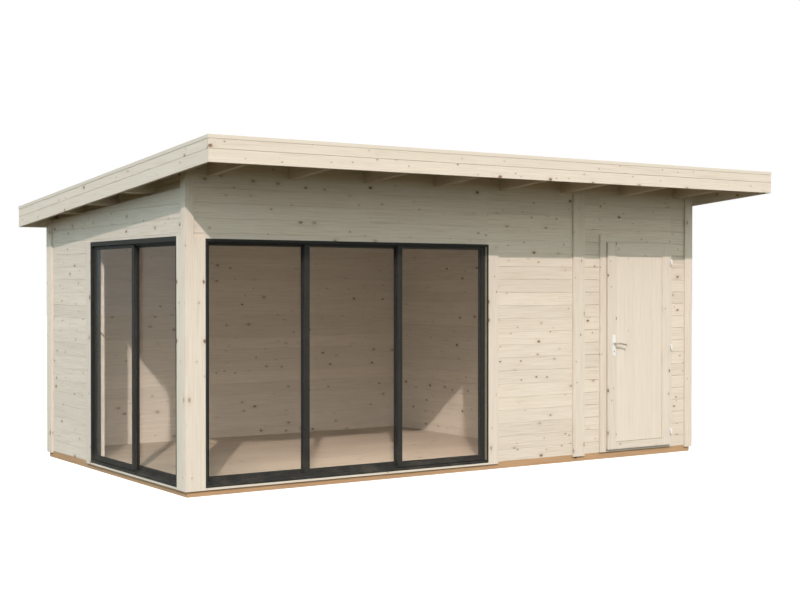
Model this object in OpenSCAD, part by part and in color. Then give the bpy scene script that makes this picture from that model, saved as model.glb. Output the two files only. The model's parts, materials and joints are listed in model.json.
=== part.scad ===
// Garden office pod: a timber room with sliding glazing on two sides, a store behind a plain door
// and a low pent roof. Millimetres, +Z up, front faces -Y, origin on the ground under the roof's middle.

/* [Base] */
// Length of the floor frame along the front
base_len = 5310; // [4800:10:6500]
// Depth of the floor frame from front to back
base_depth = 3020; // [2600:10:4000]
// Height of the floor bearers
bearer_h = 62; // [50:1:120]
// Width of each floor bearer
bearer_w = 70; // [50:1:110]
// Number of bearers that run from front to back
cross_count = 11; // [7:1:16]
// Thickness of the floor boards
floor_t = 18; // [14:1:28]

/* [Walls] */
// Thickness of the outer walls, cladding and lining included
wall_t = 120; // [100:1:160]
// Thickness of the partition
partition_t = 120; // [70:1:140]
// Distance of the partition from the store door's frame
partition_set = 198; // [140:1:700]
// Height of the wall over the store door's frame, at the wall's face
door_header_h = 361; // [250:1:600]
// Corner post's width along the front
post_w = 146; // [130:1:200]
// Corner post's width along the left side
post_d = 141; // [130:1:200]
// Thickness of the corner, cover and sill boards
cover_t = 20; // [14:1:28]
// Width of the corner boards
corner_board_w = 96; // [80:1:150]
// Width of the corner boards on the glazed corner, over the glazing
post_board_w = 68; // [50:1:90]
// Width of the boards beside the glazing
stile_board_w = 109; // [70:1:140]
// Width of the board that covers the end of the partition
joint_board_w = 136; // [90:1:180]
// Distance by which the boards hang below the top of the bearers
board_drop = 17; // [5:1:35]

/* [Glazing] */
// Width of the glazed opening in the front
front_glazing_w = 2702; // [2100:1:2900]
// Width of the glazed opening in the left side
side_glazing_w = 1782; // [1400:1:2000]
// Height of the front wall over the front glazing
glazing_header_h = 476; // [320:1:600]
// Extra height of the side frame's head over the front frame's
side_head_extra = 20; // [0:1:40]
// Visible width of the outer frame's head and jambs
frame_face = 18; // [14:1:40]
// Height of the outer frame's sill
frame_sill = 22; // [15:1:40]
// Thickness of a sash
sash_t = 28; // [26:1:36]
// Distance from one track to the next
track_pitch = 33; // [33:1:45]
// Distance of the first sash behind the frame's face
sash_setback = 20; // [6:1:25]
// Width of a sash stile
stile_w = 42; // [34:1:75]
// Height of a sash's top rail
top_rail_h = 20; // [18:1:60]
// Height of a sash's bottom rail
bottom_rail_h = 40; // [30:1:80]
// Thickness of the glass
glass_t = 20; // [6:1:24]
// Width of the rail that a sash runs on
guide_w = 6; // [4:1:8]
// Depth of the groove that takes the rail
groove_depth = 12; // [8:1:18]

/* [Store door] */
// Width of the wall between the door frame and the right end
end_panel_w = 254; // [180:1:380]
// Width of the door leaf
leaf_w = 798; // [680:1:860]
// Height of the door leaf
leaf_h = 1916; // [1750:1:2000]
// Thickness of the door leaf
leaf_t = 44; // [36:1:50]
// Distance by which the leaf stands proud of the cladding
leaf_proud = 40; // [36:1:48]
// Width of the frame's board on the lock side
lock_jamb_w = 70; // [50:1:90]
// Width of the frame's board on the hinge side
hinge_jamb_w = 30; // [26:1:60]
// Height of the frame's head board
door_head_h = 66; // [40:1:100]
// Depth of the door frame in the wall
jamb_depth = 90; // [70:1:100]
// Distance by which the frame's stop overlaps the leaf
stop_lap = 15; // [10:1:22]
// Width of the leaf's stiles
leaf_stile_w = 107; // [80:1:130]
// Height of the leaf's top rail
leaf_top_rail_h = 122; // [80:1:160]
// Height of the leaf's bottom rail
leaf_bottom_rail_h = 64; // [50:1:160]
// Thickness of the boarded panel in the leaf
panel_t = 18; // [12:1:22]
// Distance of the panel behind the leaf's face
panel_setback = 13; // [8:1:18]

/* [Door fittings] */
// Radius of a hinge barrel
barrel_r = 7; // [6:0.5:8]
// Height of a whole hinge barrel
barrel_h = 50; // [40:1:70]
// Radius of a hinge pin
hinge_pin_r = 4; // [3:0.25:4.5]
// Height of the middle of the lowest hinge above the leaf's foot
hinge_inset = 127; // [90:1:220]
// Distance of the middle of the highest hinge below the leaf's top
top_hinge_inset = 178; // [120:1:260]
// Width of a handle plate
plate_w = 32; // [26:1:40]
// Height of a handle plate
plate_h = 204; // [170:1:240]
// Thickness of a handle plate
plate_t = 6; // [4:1:9]
// Distance of the handle from the lock edge of the leaf
handle_inset = 72; // [50:1:78]
// Height of the spindle above the ground
spindle_z = 1068; // [960:1:1120]
// Distance of the spindle below the top of the plate
spindle_drop = 82; // [60:1:110]
// Radius of the lever's neck
neck_r = 9; // [7:0.5:11]
// Radius of the lever's grip
grip_r = 8; // [6:0.5:10]
// Length of the lever from the spindle to its end
lever_len = 116; // [90:1:140]
// Distance of the grip's middle from the leaf's face
lever_stand = 52; // [42:1:70]
// Radius of the spindle
spindle_r = 4.5; // [4:0.25:6]

/* [Roof] */
// Slope of the roof in degrees
roof_slope = 4.34; // [2:0.01:8]
// Overhang of the roof at the front
front_overhang = 826; // [500:1:1000]
// Overhang of the roof at the sides
side_overhang = 220; // [150:1:400]
// Overhang of the roof at the back
back_overhang = 220; // [150:1:400]
// Height of the rafters
rafter_h = 115; // [90:1:160]
// Width of the rafters
rafter_w = 50; // [38:1:70]
// Number of rafters
rafter_count = 8; // [6:1:11]
// Distance of the outer rafters from the end of the floor frame
rafter_edge = 175; // [60:1:260]
// Number of lookouts at each side
lookout_count = 3; // [2:1:5]
// Distance of the eaves blocking behind the wall's outer face
blocking_set = 60; // [0:1:65]
// Thickness of the roof boards
deck_t = 20; // [16:1:28]
// Thickness of the roofing felt
felt_t = 4; // [3:1:8]
// Thickness of a fascia board
fascia_t = 28; // [20:1:36]
// Height of a fascia, both boards together
fascia_h = 191; // [175:1:240]
// Open joint between the two boards of a fascia
fascia_joint = 2; // [1:0.5:4]
// Distance by which the fascia hangs below the rafters
fascia_drop = 36; // [20:1:60]
// Thickness of the edge trim
trim_t = 3; // [2:0.5:5]
// Height of the edge trim on the fascia
trim_h = 24; // [16:1:40]

/* [Clearances] */
// Gap round a moving sash
sash_gap = 5; // [5:0.5:8]
// Gap at the sides of a guide rail in its groove
guide_side_gap = 2; // [1.5:0.5:3]
// Gap between a piece that turns or slides and its seat
seat_gap = 0.3; // [0.2:0.05:0.5]
// Gap round the door leaf
door_gap = 7; // [7:0.5:10]
// Fitting gap between the roof timbers and what they meet
timber_gap = 0.2; // [0.1:0.05:0.5]

/* [Hidden] */
$fn = 48;
// Overrun of every cut past the faces it opens
cut = 1;

// Outer faces of the cladding, which stand over the faces of the bearers
left_x = -base_len / 2;
right_x = base_len / 2;
roof_depth = front_overhang + base_depth + back_overhang;
front_y = front_overhang - roof_depth / 2;
back_y = front_y + base_depth;
floor_z = bearer_h + floor_t;
board_foot = bearer_h - board_drop;

// Heights of the store door, which set the height of the front wall and of the glazing
threshold_t = 17;
leaf_z = bearer_h + threshold_t + door_gap;
door_head_z = leaf_z + leaf_h + door_gap;
front_wall_top = door_head_z + door_head_h + door_header_h;
glazing_top = front_wall_top - glazing_header_h;
side_glazing_top = glazing_top + side_head_extra;

// Underside of the rafters, which is also the top of every wall, at a place from front to back
slope_share = tan(roof_slope);
function eaves_z(y) = front_wall_top - slope_share * (y - front_y);

// Edges of the openings
front_glazing_x = left_x + post_w;
front_panel_x = front_glazing_x + front_glazing_w;
side_glazing_y = front_y + post_d;
side_panel_y = side_glazing_y + side_glazing_w;
door_end_x = right_x - end_panel_w;
leaf_x = door_end_x - hinge_jamb_w - door_gap - leaf_w;
door_frame_x = leaf_x - door_gap - lock_jamb_w;
partition_x = door_frame_x - partition_set - partition_t;
leaf_y = front_y - leaf_proud;
leaf_back_y = leaf_y + leaf_t;

// Sashes: three share the front opening and two the side opening, lapping by one stile
front_sash_count = 3;
side_sash_count = 2;
function sash_w(opening, count) =
    (opening - 2 * (frame_face + sash_gap) + (count - 1) * stile_w) / count;
sash_z = bearer_h + frame_sill + sash_gap;
sash_h = glazing_top - frame_face - sash_gap - sash_z;
front_frame_depth = cover_t + wall_t;
side_frame_depth = 2 * sash_setback + track_pitch + sash_t;
guide_reach = groove_depth - seat_gap;

// Hinge axis and fittings of the door
barrel_stand = 10;
axis_x = leaf_x + leaf_w + door_gap / 2;
axis_y = leaf_y - barrel_stand;
lug_w = 14;
lug_h = 20;
hinge_count = 3;
hinge_pitch = (leaf_h - hinge_inset - top_hinge_inset) / (hinge_count - 1);
handle_x = leaf_x + handle_inset;
plate_top_z = spindle_z + spindle_drop;
spindle_bore_r = spindle_r + seat_gap;

// Outline of the roof, inside the edge trim
roof_left_x = left_x - side_overhang + trim_t;
roof_right_x = right_x + side_overhang - trim_t;
roof_front_y = front_y - front_overhang + trim_t;
roof_back_y = back_y + back_overhang - trim_t;
deck_front_y = roof_front_y + fascia_t;
deck_back_y = roof_back_y - fascia_t;
rafter_pitch = (base_len - 2 * rafter_edge - rafter_w) / (rafter_count - 1);
lookout_pitch = base_depth / (lookout_count + 1);
fascia_board_h = (fascia_h - fascia_joint) / 2;

// A block between two corners
module block(x1, x2, y1, y2, z1, z2) {
    translate([x1, y1, z1]) cube([x2 - x1, y2 - y1, z2 - z1]);
}

// A piece that runs along X with a given outline in Y and Z
module along_x(x1, x2, outline) {
    translate([x1, 0, 0])
        rotate([90, 0, 90])
            linear_extrude(x2 - x1) polygon(outline);
}

// A wall slab from a level foot up to the underside of the rafters
module wall_slab(x1, x2, y1, y2, foot) {
    along_x(x1, x2, [
        [y1, foot], [y2, foot],
        [y2, eaves_z(y2) - timber_gap], [y1, eaves_z(y1) - timber_gap]
    ]);
}

// A piece that follows the roof's slope between two heights above the underside of the rafters
module sloping(x1, x2, y1, y2, low, high) {
    along_x(x1, x2, [
        [y1, eaves_z(y1) + low], [y2, eaves_z(y2) + low],
        [y2, eaves_z(y2) + high], [y1, eaves_z(y1) + high]
    ]);
}

// Floor

module long_bearers() {
    color("peru") {
        block(left_x, right_x, front_y, front_y + bearer_w, 0, bearer_h);
        block(left_x, right_x, back_y - bearer_w, back_y, 0, bearer_h);
    }
}

module cross_bearers() {
    pitch = (base_len - bearer_w) / (cross_count - 1);
    color("peru")
        for (i = [0 : cross_count - 1])
            translate([left_x + i * pitch, 0, 0])
                block(0, bearer_w, front_y + bearer_w, back_y - bearer_w, 0, bearer_h);
}

// The floor reaches the inner faces of the walls and of both glazing frames, round the corner post
module floor_boards() {
    frame_back_x = left_x - cover_t + side_frame_depth;
    color("burlywood") {
        block(left_x + post_w, right_x - wall_t, front_y + wall_t, back_y - wall_t, bearer_h, floor_z);
        block(left_x + wall_t, left_x + post_w, side_glazing_y, back_y - wall_t, bearer_h, floor_z);
        block(frame_back_x, left_x + wall_t, side_glazing_y, side_panel_y, bearer_h, floor_z);
    }
}

// Walls

module corner_post() {
    color("wheat") wall_slab(left_x, left_x + post_w, front_y, front_y + post_d, bearer_h);
}

module front_header() {
    color("wheat") wall_slab(front_glazing_x, front_panel_x, front_y, front_y + wall_t, glazing_top);
}

module front_panel() {
    color("wheat") wall_slab(front_panel_x, door_frame_x, front_y, front_y + wall_t, bearer_h);
}

module front_end_panel() {
    color("wheat") wall_slab(door_end_x, right_x, front_y, front_y + wall_t, bearer_h);
}

module door_header() {
    color("wheat") wall_slab(door_frame_x, door_end_x, front_y, front_y + wall_t, door_head_z + door_head_h);
}

module left_header() {
    color("wheat") wall_slab(left_x, left_x + wall_t, side_glazing_y, side_panel_y, side_glazing_top);
}

module left_rear_panel() {
    color("wheat") wall_slab(left_x, left_x + wall_t, side_panel_y, back_y - wall_t, bearer_h);
}

module back_wall() {
    color("wheat") wall_slab(left_x, right_x, back_y - wall_t, back_y, bearer_h);
}

module right_wall() {
    color("wheat") wall_slab(right_x - wall_t, right_x, front_y + wall_t, back_y - wall_t, bearer_h);
}

module partition() {
    color("wheat")
        wall_slab(partition_x, partition_x + partition_t, front_y + wall_t, back_y - wall_t, floor_z);
}

// Boards on the walls

// A board against a wall's face, from a corner outwards; the ends may come in either order
module upright_board(xs, ys) {
    wall_slab(min(xs), max(xs), min(ys), max(ys), board_foot);
}

// Two boards that meet at a corner, the second lapping the first's edge; out_x and out_y point
// away from the building there
module corner_pair(x, y, out_x, out_y, w) {
    outer_x = x + out_x * cover_t;
    outer_y = y + out_y * cover_t;
    upright_board([outer_x, outer_x - out_x * w], [outer_y, y]);
    upright_board([outer_x, x], [outer_y, y - out_y * w]);
}

// The boards of the glazed corner widen below the glazing's head until they meet its frames
module corner_boards() {
    color("cornsilk") {
        corner_pair(left_x, front_y, -1, -1, post_board_w);
        block(left_x, front_glazing_x, front_y - cover_t, front_y, board_foot, glazing_top);
        block(left_x - cover_t, left_x, front_y, side_glazing_y, board_foot, side_glazing_top);
        corner_pair(right_x, front_y, 1, -1, corner_board_w);
        corner_pair(left_x, back_y, -1, 1, corner_board_w);
        corner_pair(right_x, back_y, 1, 1, corner_board_w);
    }
}

module cover_boards() {
    joint_x = partition_x + partition_t / 2 - joint_board_w / 2;
    color("cornsilk") {
        block(front_panel_x, front_panel_x + stile_board_w, front_y - cover_t, front_y,
            board_foot, glazing_top);
        block(left_x - cover_t, left_x, side_panel_y, side_panel_y + stile_board_w,
            board_foot, side_glazing_top);
        wall_slab(joint_x, joint_x + joint_board_w, front_y - cover_t, front_y, board_foot);
    }
}

module sill_boards() {
    color("cornsilk") {
        block(front_glazing_x, front_panel_x, front_y - cover_t, front_y, board_foot, bearer_h);
        block(left_x - cover_t, left_x, side_glazing_y, side_panel_y, board_foot, bearer_h);
    }
}

// Glazing, drawn with X along the opening, Y into the building from the frame's face

module place_front() {
    translate([front_glazing_x, front_y - cover_t, 0]) children();
}

module place_side() {
    translate([left_x - cover_t, side_panel_y, 0]) rotate([0, 0, -90]) children();
}

module glazing_frame(w, depth, tracks, top) {
    difference() {
        block(0, w, 0, depth, bearer_h, top);
        block(frame_face, w - frame_face, -cut, depth + cut, bearer_h + frame_sill, glazing_top - frame_face);
    }
    for (track = [0 : tracks - 1])
        translate([0, sash_setback + track * track_pitch + (sash_t - guide_w) / 2, 0]) {
            block(frame_face, w - frame_face, 0, guide_w, bearer_h + frame_sill, sash_z + guide_reach);
            block(frame_face, w - frame_face, 0, guide_w, sash_z + sash_h - groove_depth + guide_side_gap * 2,
                glazing_top - frame_face);
        }
}

// A sash stands in the given place of its row, on the given track
module place_sash(w, place, track) {
    translate([frame_face + sash_gap + place * (w - stile_w), sash_setback + track * track_pitch, sash_z])
        children();
}

module sash(w) {
    groove_w = guide_w + 2 * guide_side_gap;
    groove_y = (sash_t - groove_w) / 2;
    difference() {
        block(0, w, 0, sash_t, 0, sash_h);
        block(stile_w, w - stile_w, -cut, sash_t + cut, bottom_rail_h, sash_h - top_rail_h);
        block(-cut, w + cut, groove_y, groove_y + groove_w, -cut, groove_depth);
        block(-cut, w + cut, groove_y, groove_y + groove_w, sash_h - groove_depth, sash_h + cut);
    }
}

module sash_glass(w) {
    translate([0, (sash_t - glass_t) / 2, 0])
        block(stile_w, w - stile_w, 0, glass_t, bottom_rail_h, sash_h - top_rail_h);
}

front_sash_w = sash_w(front_glazing_w, front_sash_count);
side_sash_w = sash_w(side_glazing_w, side_sash_count);

module front_glazing_frame() {
    color("dimgray")
        place_front() glazing_frame(front_glazing_w, front_frame_depth, front_sash_count, glazing_top);
}

module front_sash_left() {
    color("dimgray") place_front() place_sash(front_sash_w, 0, 2) sash(front_sash_w);
}

module front_sash_middle() {
    color("dimgray") place_front() place_sash(front_sash_w, 1, 1) sash(front_sash_w);
}

module front_sash_right() {
    color("dimgray") place_front() place_sash(front_sash_w, 2, 0) sash(front_sash_w);
}

module front_glass_left() {
    color("lightblue", 0.3) place_front() place_sash(front_sash_w, 0, 2) sash_glass(front_sash_w);
}

module front_glass_middle() {
    color("lightblue", 0.3) place_front() place_sash(front_sash_w, 1, 1) sash_glass(front_sash_w);
}

module front_glass_right() {
    color("lightblue", 0.3) place_front() place_sash(front_sash_w, 2, 0) sash_glass(front_sash_w);
}

module side_glazing_frame() {
    color("dimgray")
        place_side() glazing_frame(side_glazing_w, side_frame_depth, side_sash_count, side_glazing_top);
}

module side_sash_front() {
    color("dimgray") place_side() place_sash(side_sash_w, 1, 1) sash(side_sash_w);
}

module side_sash_rear() {
    color("dimgray") place_side() place_sash(side_sash_w, 0, 0) sash(side_sash_w);
}

module side_glass_front() {
    color("lightblue", 0.3) place_side() place_sash(side_sash_w, 1, 1) sash_glass(side_sash_w);
}

module side_glass_rear() {
    color("lightblue", 0.3) place_side() place_sash(side_sash_w, 0, 0) sash_glass(side_sash_w);
}

// Store door

module door_frame() {
    face_y = front_y - cover_t;
    back_face_y = front_y + jamb_depth;
    stop_y = leaf_back_y + door_gap;
    lock_edge = leaf_x - door_gap;
    hinge_edge = leaf_x + leaf_w + door_gap;
    color("cornsilk")
        difference() {
            block(door_frame_x, door_end_x, face_y, back_face_y, bearer_h, door_head_z + door_head_h);
            block(lock_edge, hinge_edge, face_y - cut, stop_y, bearer_h - cut, door_head_z);
            block(leaf_x + stop_lap, leaf_x + leaf_w - stop_lap, face_y - cut, back_face_y + cut,
                bearer_h - cut, door_head_z - door_gap - stop_lap);
        }
}

module door_threshold() {
    stop_y = leaf_back_y + door_gap;
    color("tan") {
        block(leaf_x - door_gap, leaf_x + leaf_w + door_gap, front_y - cover_t, stop_y,
            bearer_h, bearer_h + threshold_t);
        block(leaf_x + stop_lap, leaf_x + leaf_w - stop_lap, stop_y, front_y + wall_t,
            bearer_h, bearer_h + threshold_t);
    }
}

module door_leaf() {
    color("cornsilk")
        difference() {
            block(leaf_x, leaf_x + leaf_w, leaf_y, leaf_back_y, leaf_z, leaf_z + leaf_h);
            block(leaf_x + leaf_stile_w, leaf_x + leaf_w - leaf_stile_w, leaf_y - cut, leaf_back_y + cut,
                leaf_z + leaf_bottom_rail_h, leaf_z + leaf_h - leaf_top_rail_h);
            translate([handle_x, leaf_y - cut, spindle_z])
                rotate([-90, 0, 0]) cylinder(r = spindle_bore_r, h = leaf_t + 2 * cut);
        }
}

module door_panel() {
    color("cornsilk")
        block(leaf_x + leaf_stile_w, leaf_x + leaf_w - leaf_stile_w,
            leaf_y + panel_setback, leaf_y + panel_setback + panel_t,
            leaf_z + leaf_bottom_rail_h, leaf_z + leaf_h - leaf_top_rail_h);
}

// Places the given half of a hinge at each of its heights
module each_hinge() {
    for (i = [0 : hinge_count - 1])
        translate([axis_x, axis_y, leaf_z + hinge_inset + i * hinge_pitch]) children();
}

module hinge_frame_halves() {
    half_h = barrel_h / 2;
    frame_reach = leaf_proud - cover_t + barrel_stand;
    color("silver")
        each_hinge() {
            translate([0, 0, -half_h]) cylinder(r = barrel_r, h = half_h - seat_gap);
            translate([0, 0, -half_h]) cylinder(r = hinge_pin_r, h = barrel_h - 2 * seat_gap);
            block(0, lug_w, 0, frame_reach, -half_h, -half_h + lug_h);
        }
}

module hinge_leaf_halves() {
    half_h = barrel_h / 2;
    color("silver")
        each_hinge()
            difference() {
                union() {
                    cylinder(r = barrel_r, h = half_h);
                    block(-lug_w, 0, 0, barrel_stand, half_h - lug_h, half_h);
                }
                translate([0, 0, -cut]) cylinder(r = hinge_pin_r + seat_gap, h = half_h + 2 * cut);
            }
}

// A plate with round ends, from its face against the leaf outwards along -Y
module handle_plate() {
    end_r = plate_w / 2;
    difference() {
        union() {
            block(-end_r, end_r, -plate_t, 0, plate_top_z - plate_h + end_r, plate_top_z - end_r);
            for (z = [plate_top_z - end_r, plate_top_z - plate_h + end_r])
                translate([0, 0, z]) rotate([90, 0, 0]) cylinder(r = end_r, h = plate_t);
        }
        translate([0, cut, spindle_z])
            rotate([90, 0, 0]) cylinder(r = neck_r + seat_gap, h = plate_t + 2 * cut);
    }
}

module handle_plates() {
    color("silver") {
        translate([handle_x, leaf_y, 0]) handle_plate();
        translate([handle_x, leaf_back_y, 0]) mirror([0, 1, 0]) handle_plate();
    }
}

// One side's lever: a neck that stands off the leaf and a grip that points towards the hinges
module lever_side() {
    rotate([90, 0, 0]) cylinder(r = neck_r, h = lever_stand);
    translate([0, -lever_stand, 0]) sphere(r = neck_r);
    translate([0, -lever_stand, 0]) rotate([0, 90, 0]) cylinder(r = grip_r, h = lever_len - grip_r);
    translate([lever_len - grip_r, -lever_stand, 0]) sphere(r = grip_r);
}

module door_lever() {
    color("silver") {
        translate([handle_x, leaf_y - seat_gap, spindle_z]) lever_side();
        translate([handle_x, leaf_back_y + seat_gap, spindle_z]) mirror([0, 1, 0]) lever_side();
        translate([handle_x, leaf_y - seat_gap, spindle_z])
            rotate([-90, 0, 0]) cylinder(r = spindle_r, h = leaf_t + 2 * seat_gap);
    }
}

// Roof

timber_top = rafter_h - timber_gap;
function rafter_x(i) = left_x + rafter_edge + i * rafter_pitch;
function lookout_y(i) = front_y + i * lookout_pitch - rafter_w / 2;

module rafters() {
    color("tan")
        for (i = [0 : rafter_count - 1])
            sloping(rafter_x(i), rafter_x(i) + rafter_w, deck_front_y, deck_back_y, 0, rafter_h);
}

module lookouts() {
    color("tan")
        for (i = [1 : lookout_count]) {
            y = lookout_y(i);
            sloping(roof_left_x + fascia_t, rafter_x(0) - timber_gap, y, y + rafter_w, 0, timber_top);
            sloping(rafter_x(rafter_count - 1) + rafter_w + timber_gap, roof_right_x - fascia_t,
                y, y + rafter_w, 0, timber_top);
        }
}

// Blocks that close the eaves over the walls, between the rafters and between the lookouts
module eaves_blocking() {
    far = rafter_count - 1;
    after = rafter_w + timber_gap;
    left = left_x + blocking_set;
    right = right_x - blocking_set;
    front = front_y + blocking_set;
    back = back_y - blocking_set;
    starts = concat([left], [for (i = [0 : far]) rafter_x(i) + after]);
    ends = concat([for (i = [0 : far]) rafter_x(i) - timber_gap], [right]);
    side_starts = concat([front + after], [for (i = [1 : lookout_count]) lookout_y(i) + after]);
    side_ends = concat([for (i = [1 : lookout_count]) lookout_y(i) - timber_gap], [back - after]);
    color("tan") {
        for (i = [0 : rafter_count]) {
            sloping(starts[i], ends[i], front, front + rafter_w, 0, timber_top);
            sloping(starts[i], ends[i], back - rafter_w, back, 0, timber_top);
        }
        for (i = [0 : lookout_count]) {
            sloping(left, left + rafter_w, side_starts[i], side_ends[i], 0, timber_top);
            sloping(right - rafter_w, right, side_starts[i], side_ends[i], 0, timber_top);
        }
    }
}

module roof_boards() {
    color("burlywood")
        sloping(roof_left_x + fascia_t, roof_right_x - fascia_t, deck_front_y, deck_back_y,
            rafter_h, rafter_h + deck_t);
}

module roof_felt() {
    color("dimgray")
        sloping(roof_left_x + fascia_t, roof_right_x - fascia_t, deck_front_y, deck_back_y,
            rafter_h + deck_t, rafter_h + deck_t + felt_t);
}

// The two boards of a fascia, one over the other
module fascia(x1, x2, y1, y2) {
    low = -fascia_drop;
    sloping(x1, x2, y1, y2, low, low + fascia_board_h);
    sloping(x1, x2, y1, y2, low + fascia_board_h + fascia_joint, low + fascia_h);
}

module front_fascia() {
    color("cornsilk") fascia(roof_left_x, roof_right_x, roof_front_y, deck_front_y);
}

module back_fascia() {
    color("cornsilk") fascia(roof_left_x, roof_right_x, deck_back_y, roof_back_y);
}

module side_fascias() {
    color("cornsilk") {
        fascia(roof_left_x, roof_left_x + fascia_t, deck_front_y, deck_back_y);
        fascia(roof_right_x - fascia_t, roof_right_x, deck_front_y, deck_back_y);
    }
}

// A strip that folds over the top of the fascias, all the way round
module edge_trim() {
    top = fascia_h - fascia_drop;
    outer = [roof_left_x - trim_t, roof_right_x + trim_t, roof_front_y - trim_t, roof_back_y + trim_t];
    color("tan")
        difference() {
            sloping(outer[0], outer[1], outer[2], outer[3], top - trim_h, top + trim_t);
            sloping(roof_left_x, roof_right_x, roof_front_y, roof_back_y, top - trim_h - cut, top);
            sloping(roof_left_x + fascia_t, roof_right_x - fascia_t, deck_front_y, deck_back_y,
                top - cut, top + trim_t + cut);
        }
}

long_bearers();
cross_bearers();
floor_boards();
corner_post();
front_header();
front_panel();
front_end_panel();
door_header();
left_header();
left_rear_panel();
back_wall();
right_wall();
partition();
corner_boards();
cover_boards();
sill_boards();
front_glazing_frame();
front_sash_left();
front_sash_middle();
front_sash_right();
front_glass_left();
front_glass_middle();
front_glass_right();
side_glazing_frame();
side_sash_front();
side_sash_rear();
side_glass_front();
side_glass_rear();
door_frame();
door_threshold();
door_leaf();
door_panel();
hinge_frame_halves();
hinge_leaf_halves();
handle_plates();
door_lever();
rafters();
lookouts();
eaves_blocking();
roof_boards();
roof_felt();
front_fascia();
side_fascias();
back_fascia();
edge_trim();
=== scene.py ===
# %% [markdown]
# # A garden office pod
# The pod is a timber room with sliding glazing on two sides, a store behind a plain door and a low
# roof that falls to the back. The construction is already modelled at its real size, and this lesson
# dresses it: single planks on the walls, eased edges on the sawn timber, seals round the glass, and
# the finishes. Everything is in metres, +Z is up and the front looks towards -Y.

# %% The frame
import json
import math
import random

import bmesh
import bpy
from mathutils import Matrix, Vector


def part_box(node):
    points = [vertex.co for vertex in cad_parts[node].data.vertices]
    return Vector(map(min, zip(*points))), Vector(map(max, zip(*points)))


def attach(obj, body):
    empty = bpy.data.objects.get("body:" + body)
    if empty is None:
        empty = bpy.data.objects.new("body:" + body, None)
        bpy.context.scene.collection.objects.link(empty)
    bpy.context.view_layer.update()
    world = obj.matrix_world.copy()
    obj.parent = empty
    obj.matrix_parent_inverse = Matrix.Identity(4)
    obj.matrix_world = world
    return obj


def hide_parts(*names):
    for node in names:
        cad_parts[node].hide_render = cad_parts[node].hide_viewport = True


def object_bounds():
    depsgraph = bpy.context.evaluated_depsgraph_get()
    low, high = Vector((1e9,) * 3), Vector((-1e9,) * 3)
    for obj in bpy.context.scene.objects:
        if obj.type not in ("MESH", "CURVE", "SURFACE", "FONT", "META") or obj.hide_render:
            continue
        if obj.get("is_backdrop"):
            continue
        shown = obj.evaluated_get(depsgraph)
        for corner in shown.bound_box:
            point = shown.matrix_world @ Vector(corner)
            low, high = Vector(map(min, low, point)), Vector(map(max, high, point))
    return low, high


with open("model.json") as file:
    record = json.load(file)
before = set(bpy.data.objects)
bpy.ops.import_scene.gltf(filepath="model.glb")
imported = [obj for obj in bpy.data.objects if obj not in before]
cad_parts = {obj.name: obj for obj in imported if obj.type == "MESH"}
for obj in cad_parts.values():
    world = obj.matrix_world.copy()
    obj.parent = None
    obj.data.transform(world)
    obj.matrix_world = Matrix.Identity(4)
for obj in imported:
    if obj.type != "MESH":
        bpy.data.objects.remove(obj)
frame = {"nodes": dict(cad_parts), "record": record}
CAD_BOX = [list(corner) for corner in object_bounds()]
NODES = frame["nodes"]
BODY_OF = {node: body for body, nodes in frame["record"]["behaviour"]["bodies"].items() for node in nodes}

# %% [markdown]
# ## Measuring the frame
# Nothing here is fitted by eye. The roof's fall and the underside of the rafters are read off the
# rafters themselves, because every wall has to end there. A plane with that fall can then trim any
# stack of planks, whatever wall it belongs to.

# %% The roof's fall
X, Y, Z = 0, 1, 2
AXIS_NAMES = "xyz"
FRONT_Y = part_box("front_panel")[0].y
FITTING_GAP = 0.0002


def edge_heights(node, place):
    """Lowest and highest point of a node at its front or back edge."""
    low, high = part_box(node)
    y = low.y if place == "front" else high.y
    heights = [v.co.z for v in NODES[node].data.vertices if abs(v.co.y - y) < FITTING_GAP]
    return min(heights), max(heights), y


front_low, _, rafter_front = edge_heights("rafters", "front")
back_low, _, rafter_back = edge_heights("rafters", "back")
FALL = (front_low - back_low) / (rafter_back - rafter_front)


def eaves_z(y):
    """Height of the underside of the rafters at a place from front to back."""
    return front_low - FALL * (y - rafter_front)


print(f"roof falls {FALL:.4f} per metre, eaves {eaves_z(FRONT_Y):.3f} m at the front wall")

# %% [markdown]
# ## Camera
# The view is from the left of the front, at eye height, so that the glazed side and the whole front
# show. The lens is a little long, because the picture has nearly parallel verticals. The camera comes
# first, so every later picture can be set beside the last one.

# %% The camera
CAMERA_PLACE = (-7.0437, -10.6588, 1.6)
CAMERA_PITCH_DEG = -0.591
CAMERA_YAW_DEG = -33.783
LENS_MM = 61.46
SENSOR_MM = 36.0
VIEW_END = 200.0


def in_scene(name, data):
    """A new object, linked to the scene."""
    thing = bpy.data.objects.new(name, data)
    bpy.context.scene.collection.objects.link(thing)
    return thing


camera_data = bpy.data.cameras.new("camera")
camera_data.lens = LENS_MM
camera_data.sensor_width = SENSOR_MM
camera_data.clip_end = VIEW_END
camera = in_scene("camera", camera_data)
camera.location = CAMERA_PLACE
camera.rotation_euler = (math.radians(90 + CAMERA_PITCH_DEG), 0, math.radians(CAMERA_YAW_DEG))
bpy.context.scene.camera = camera
print("camera at", CAMERA_PLACE)

# %% [markdown]
# ## Building node trees in a script
# Materials and Geometry Nodes are both trees of nodes, so a few small helpers serve for all of them: one
# adds a node and feeds its sockets, one makes a group with named inputs and outputs, and the others stand
# for the sums and textures that come up most. A value that is a socket becomes a link, and anything else
# is set as the socket's own number or colour.

# %% Helpers for node trees


def feed(tree, socket, value):
    """Links a socket to another one, or sets its own value."""
    if isinstance(value, bpy.types.NodeSocket):
        tree.links.new(value, socket)
    else:
        socket.default_value = value


def feed_all(tree, node, **sockets):
    """Feeds a node's inputs by name; an underscore stands for a space."""
    for name, value in sockets.items():
        feed(tree, node.inputs[name.replace("_", " ")], value)


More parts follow.
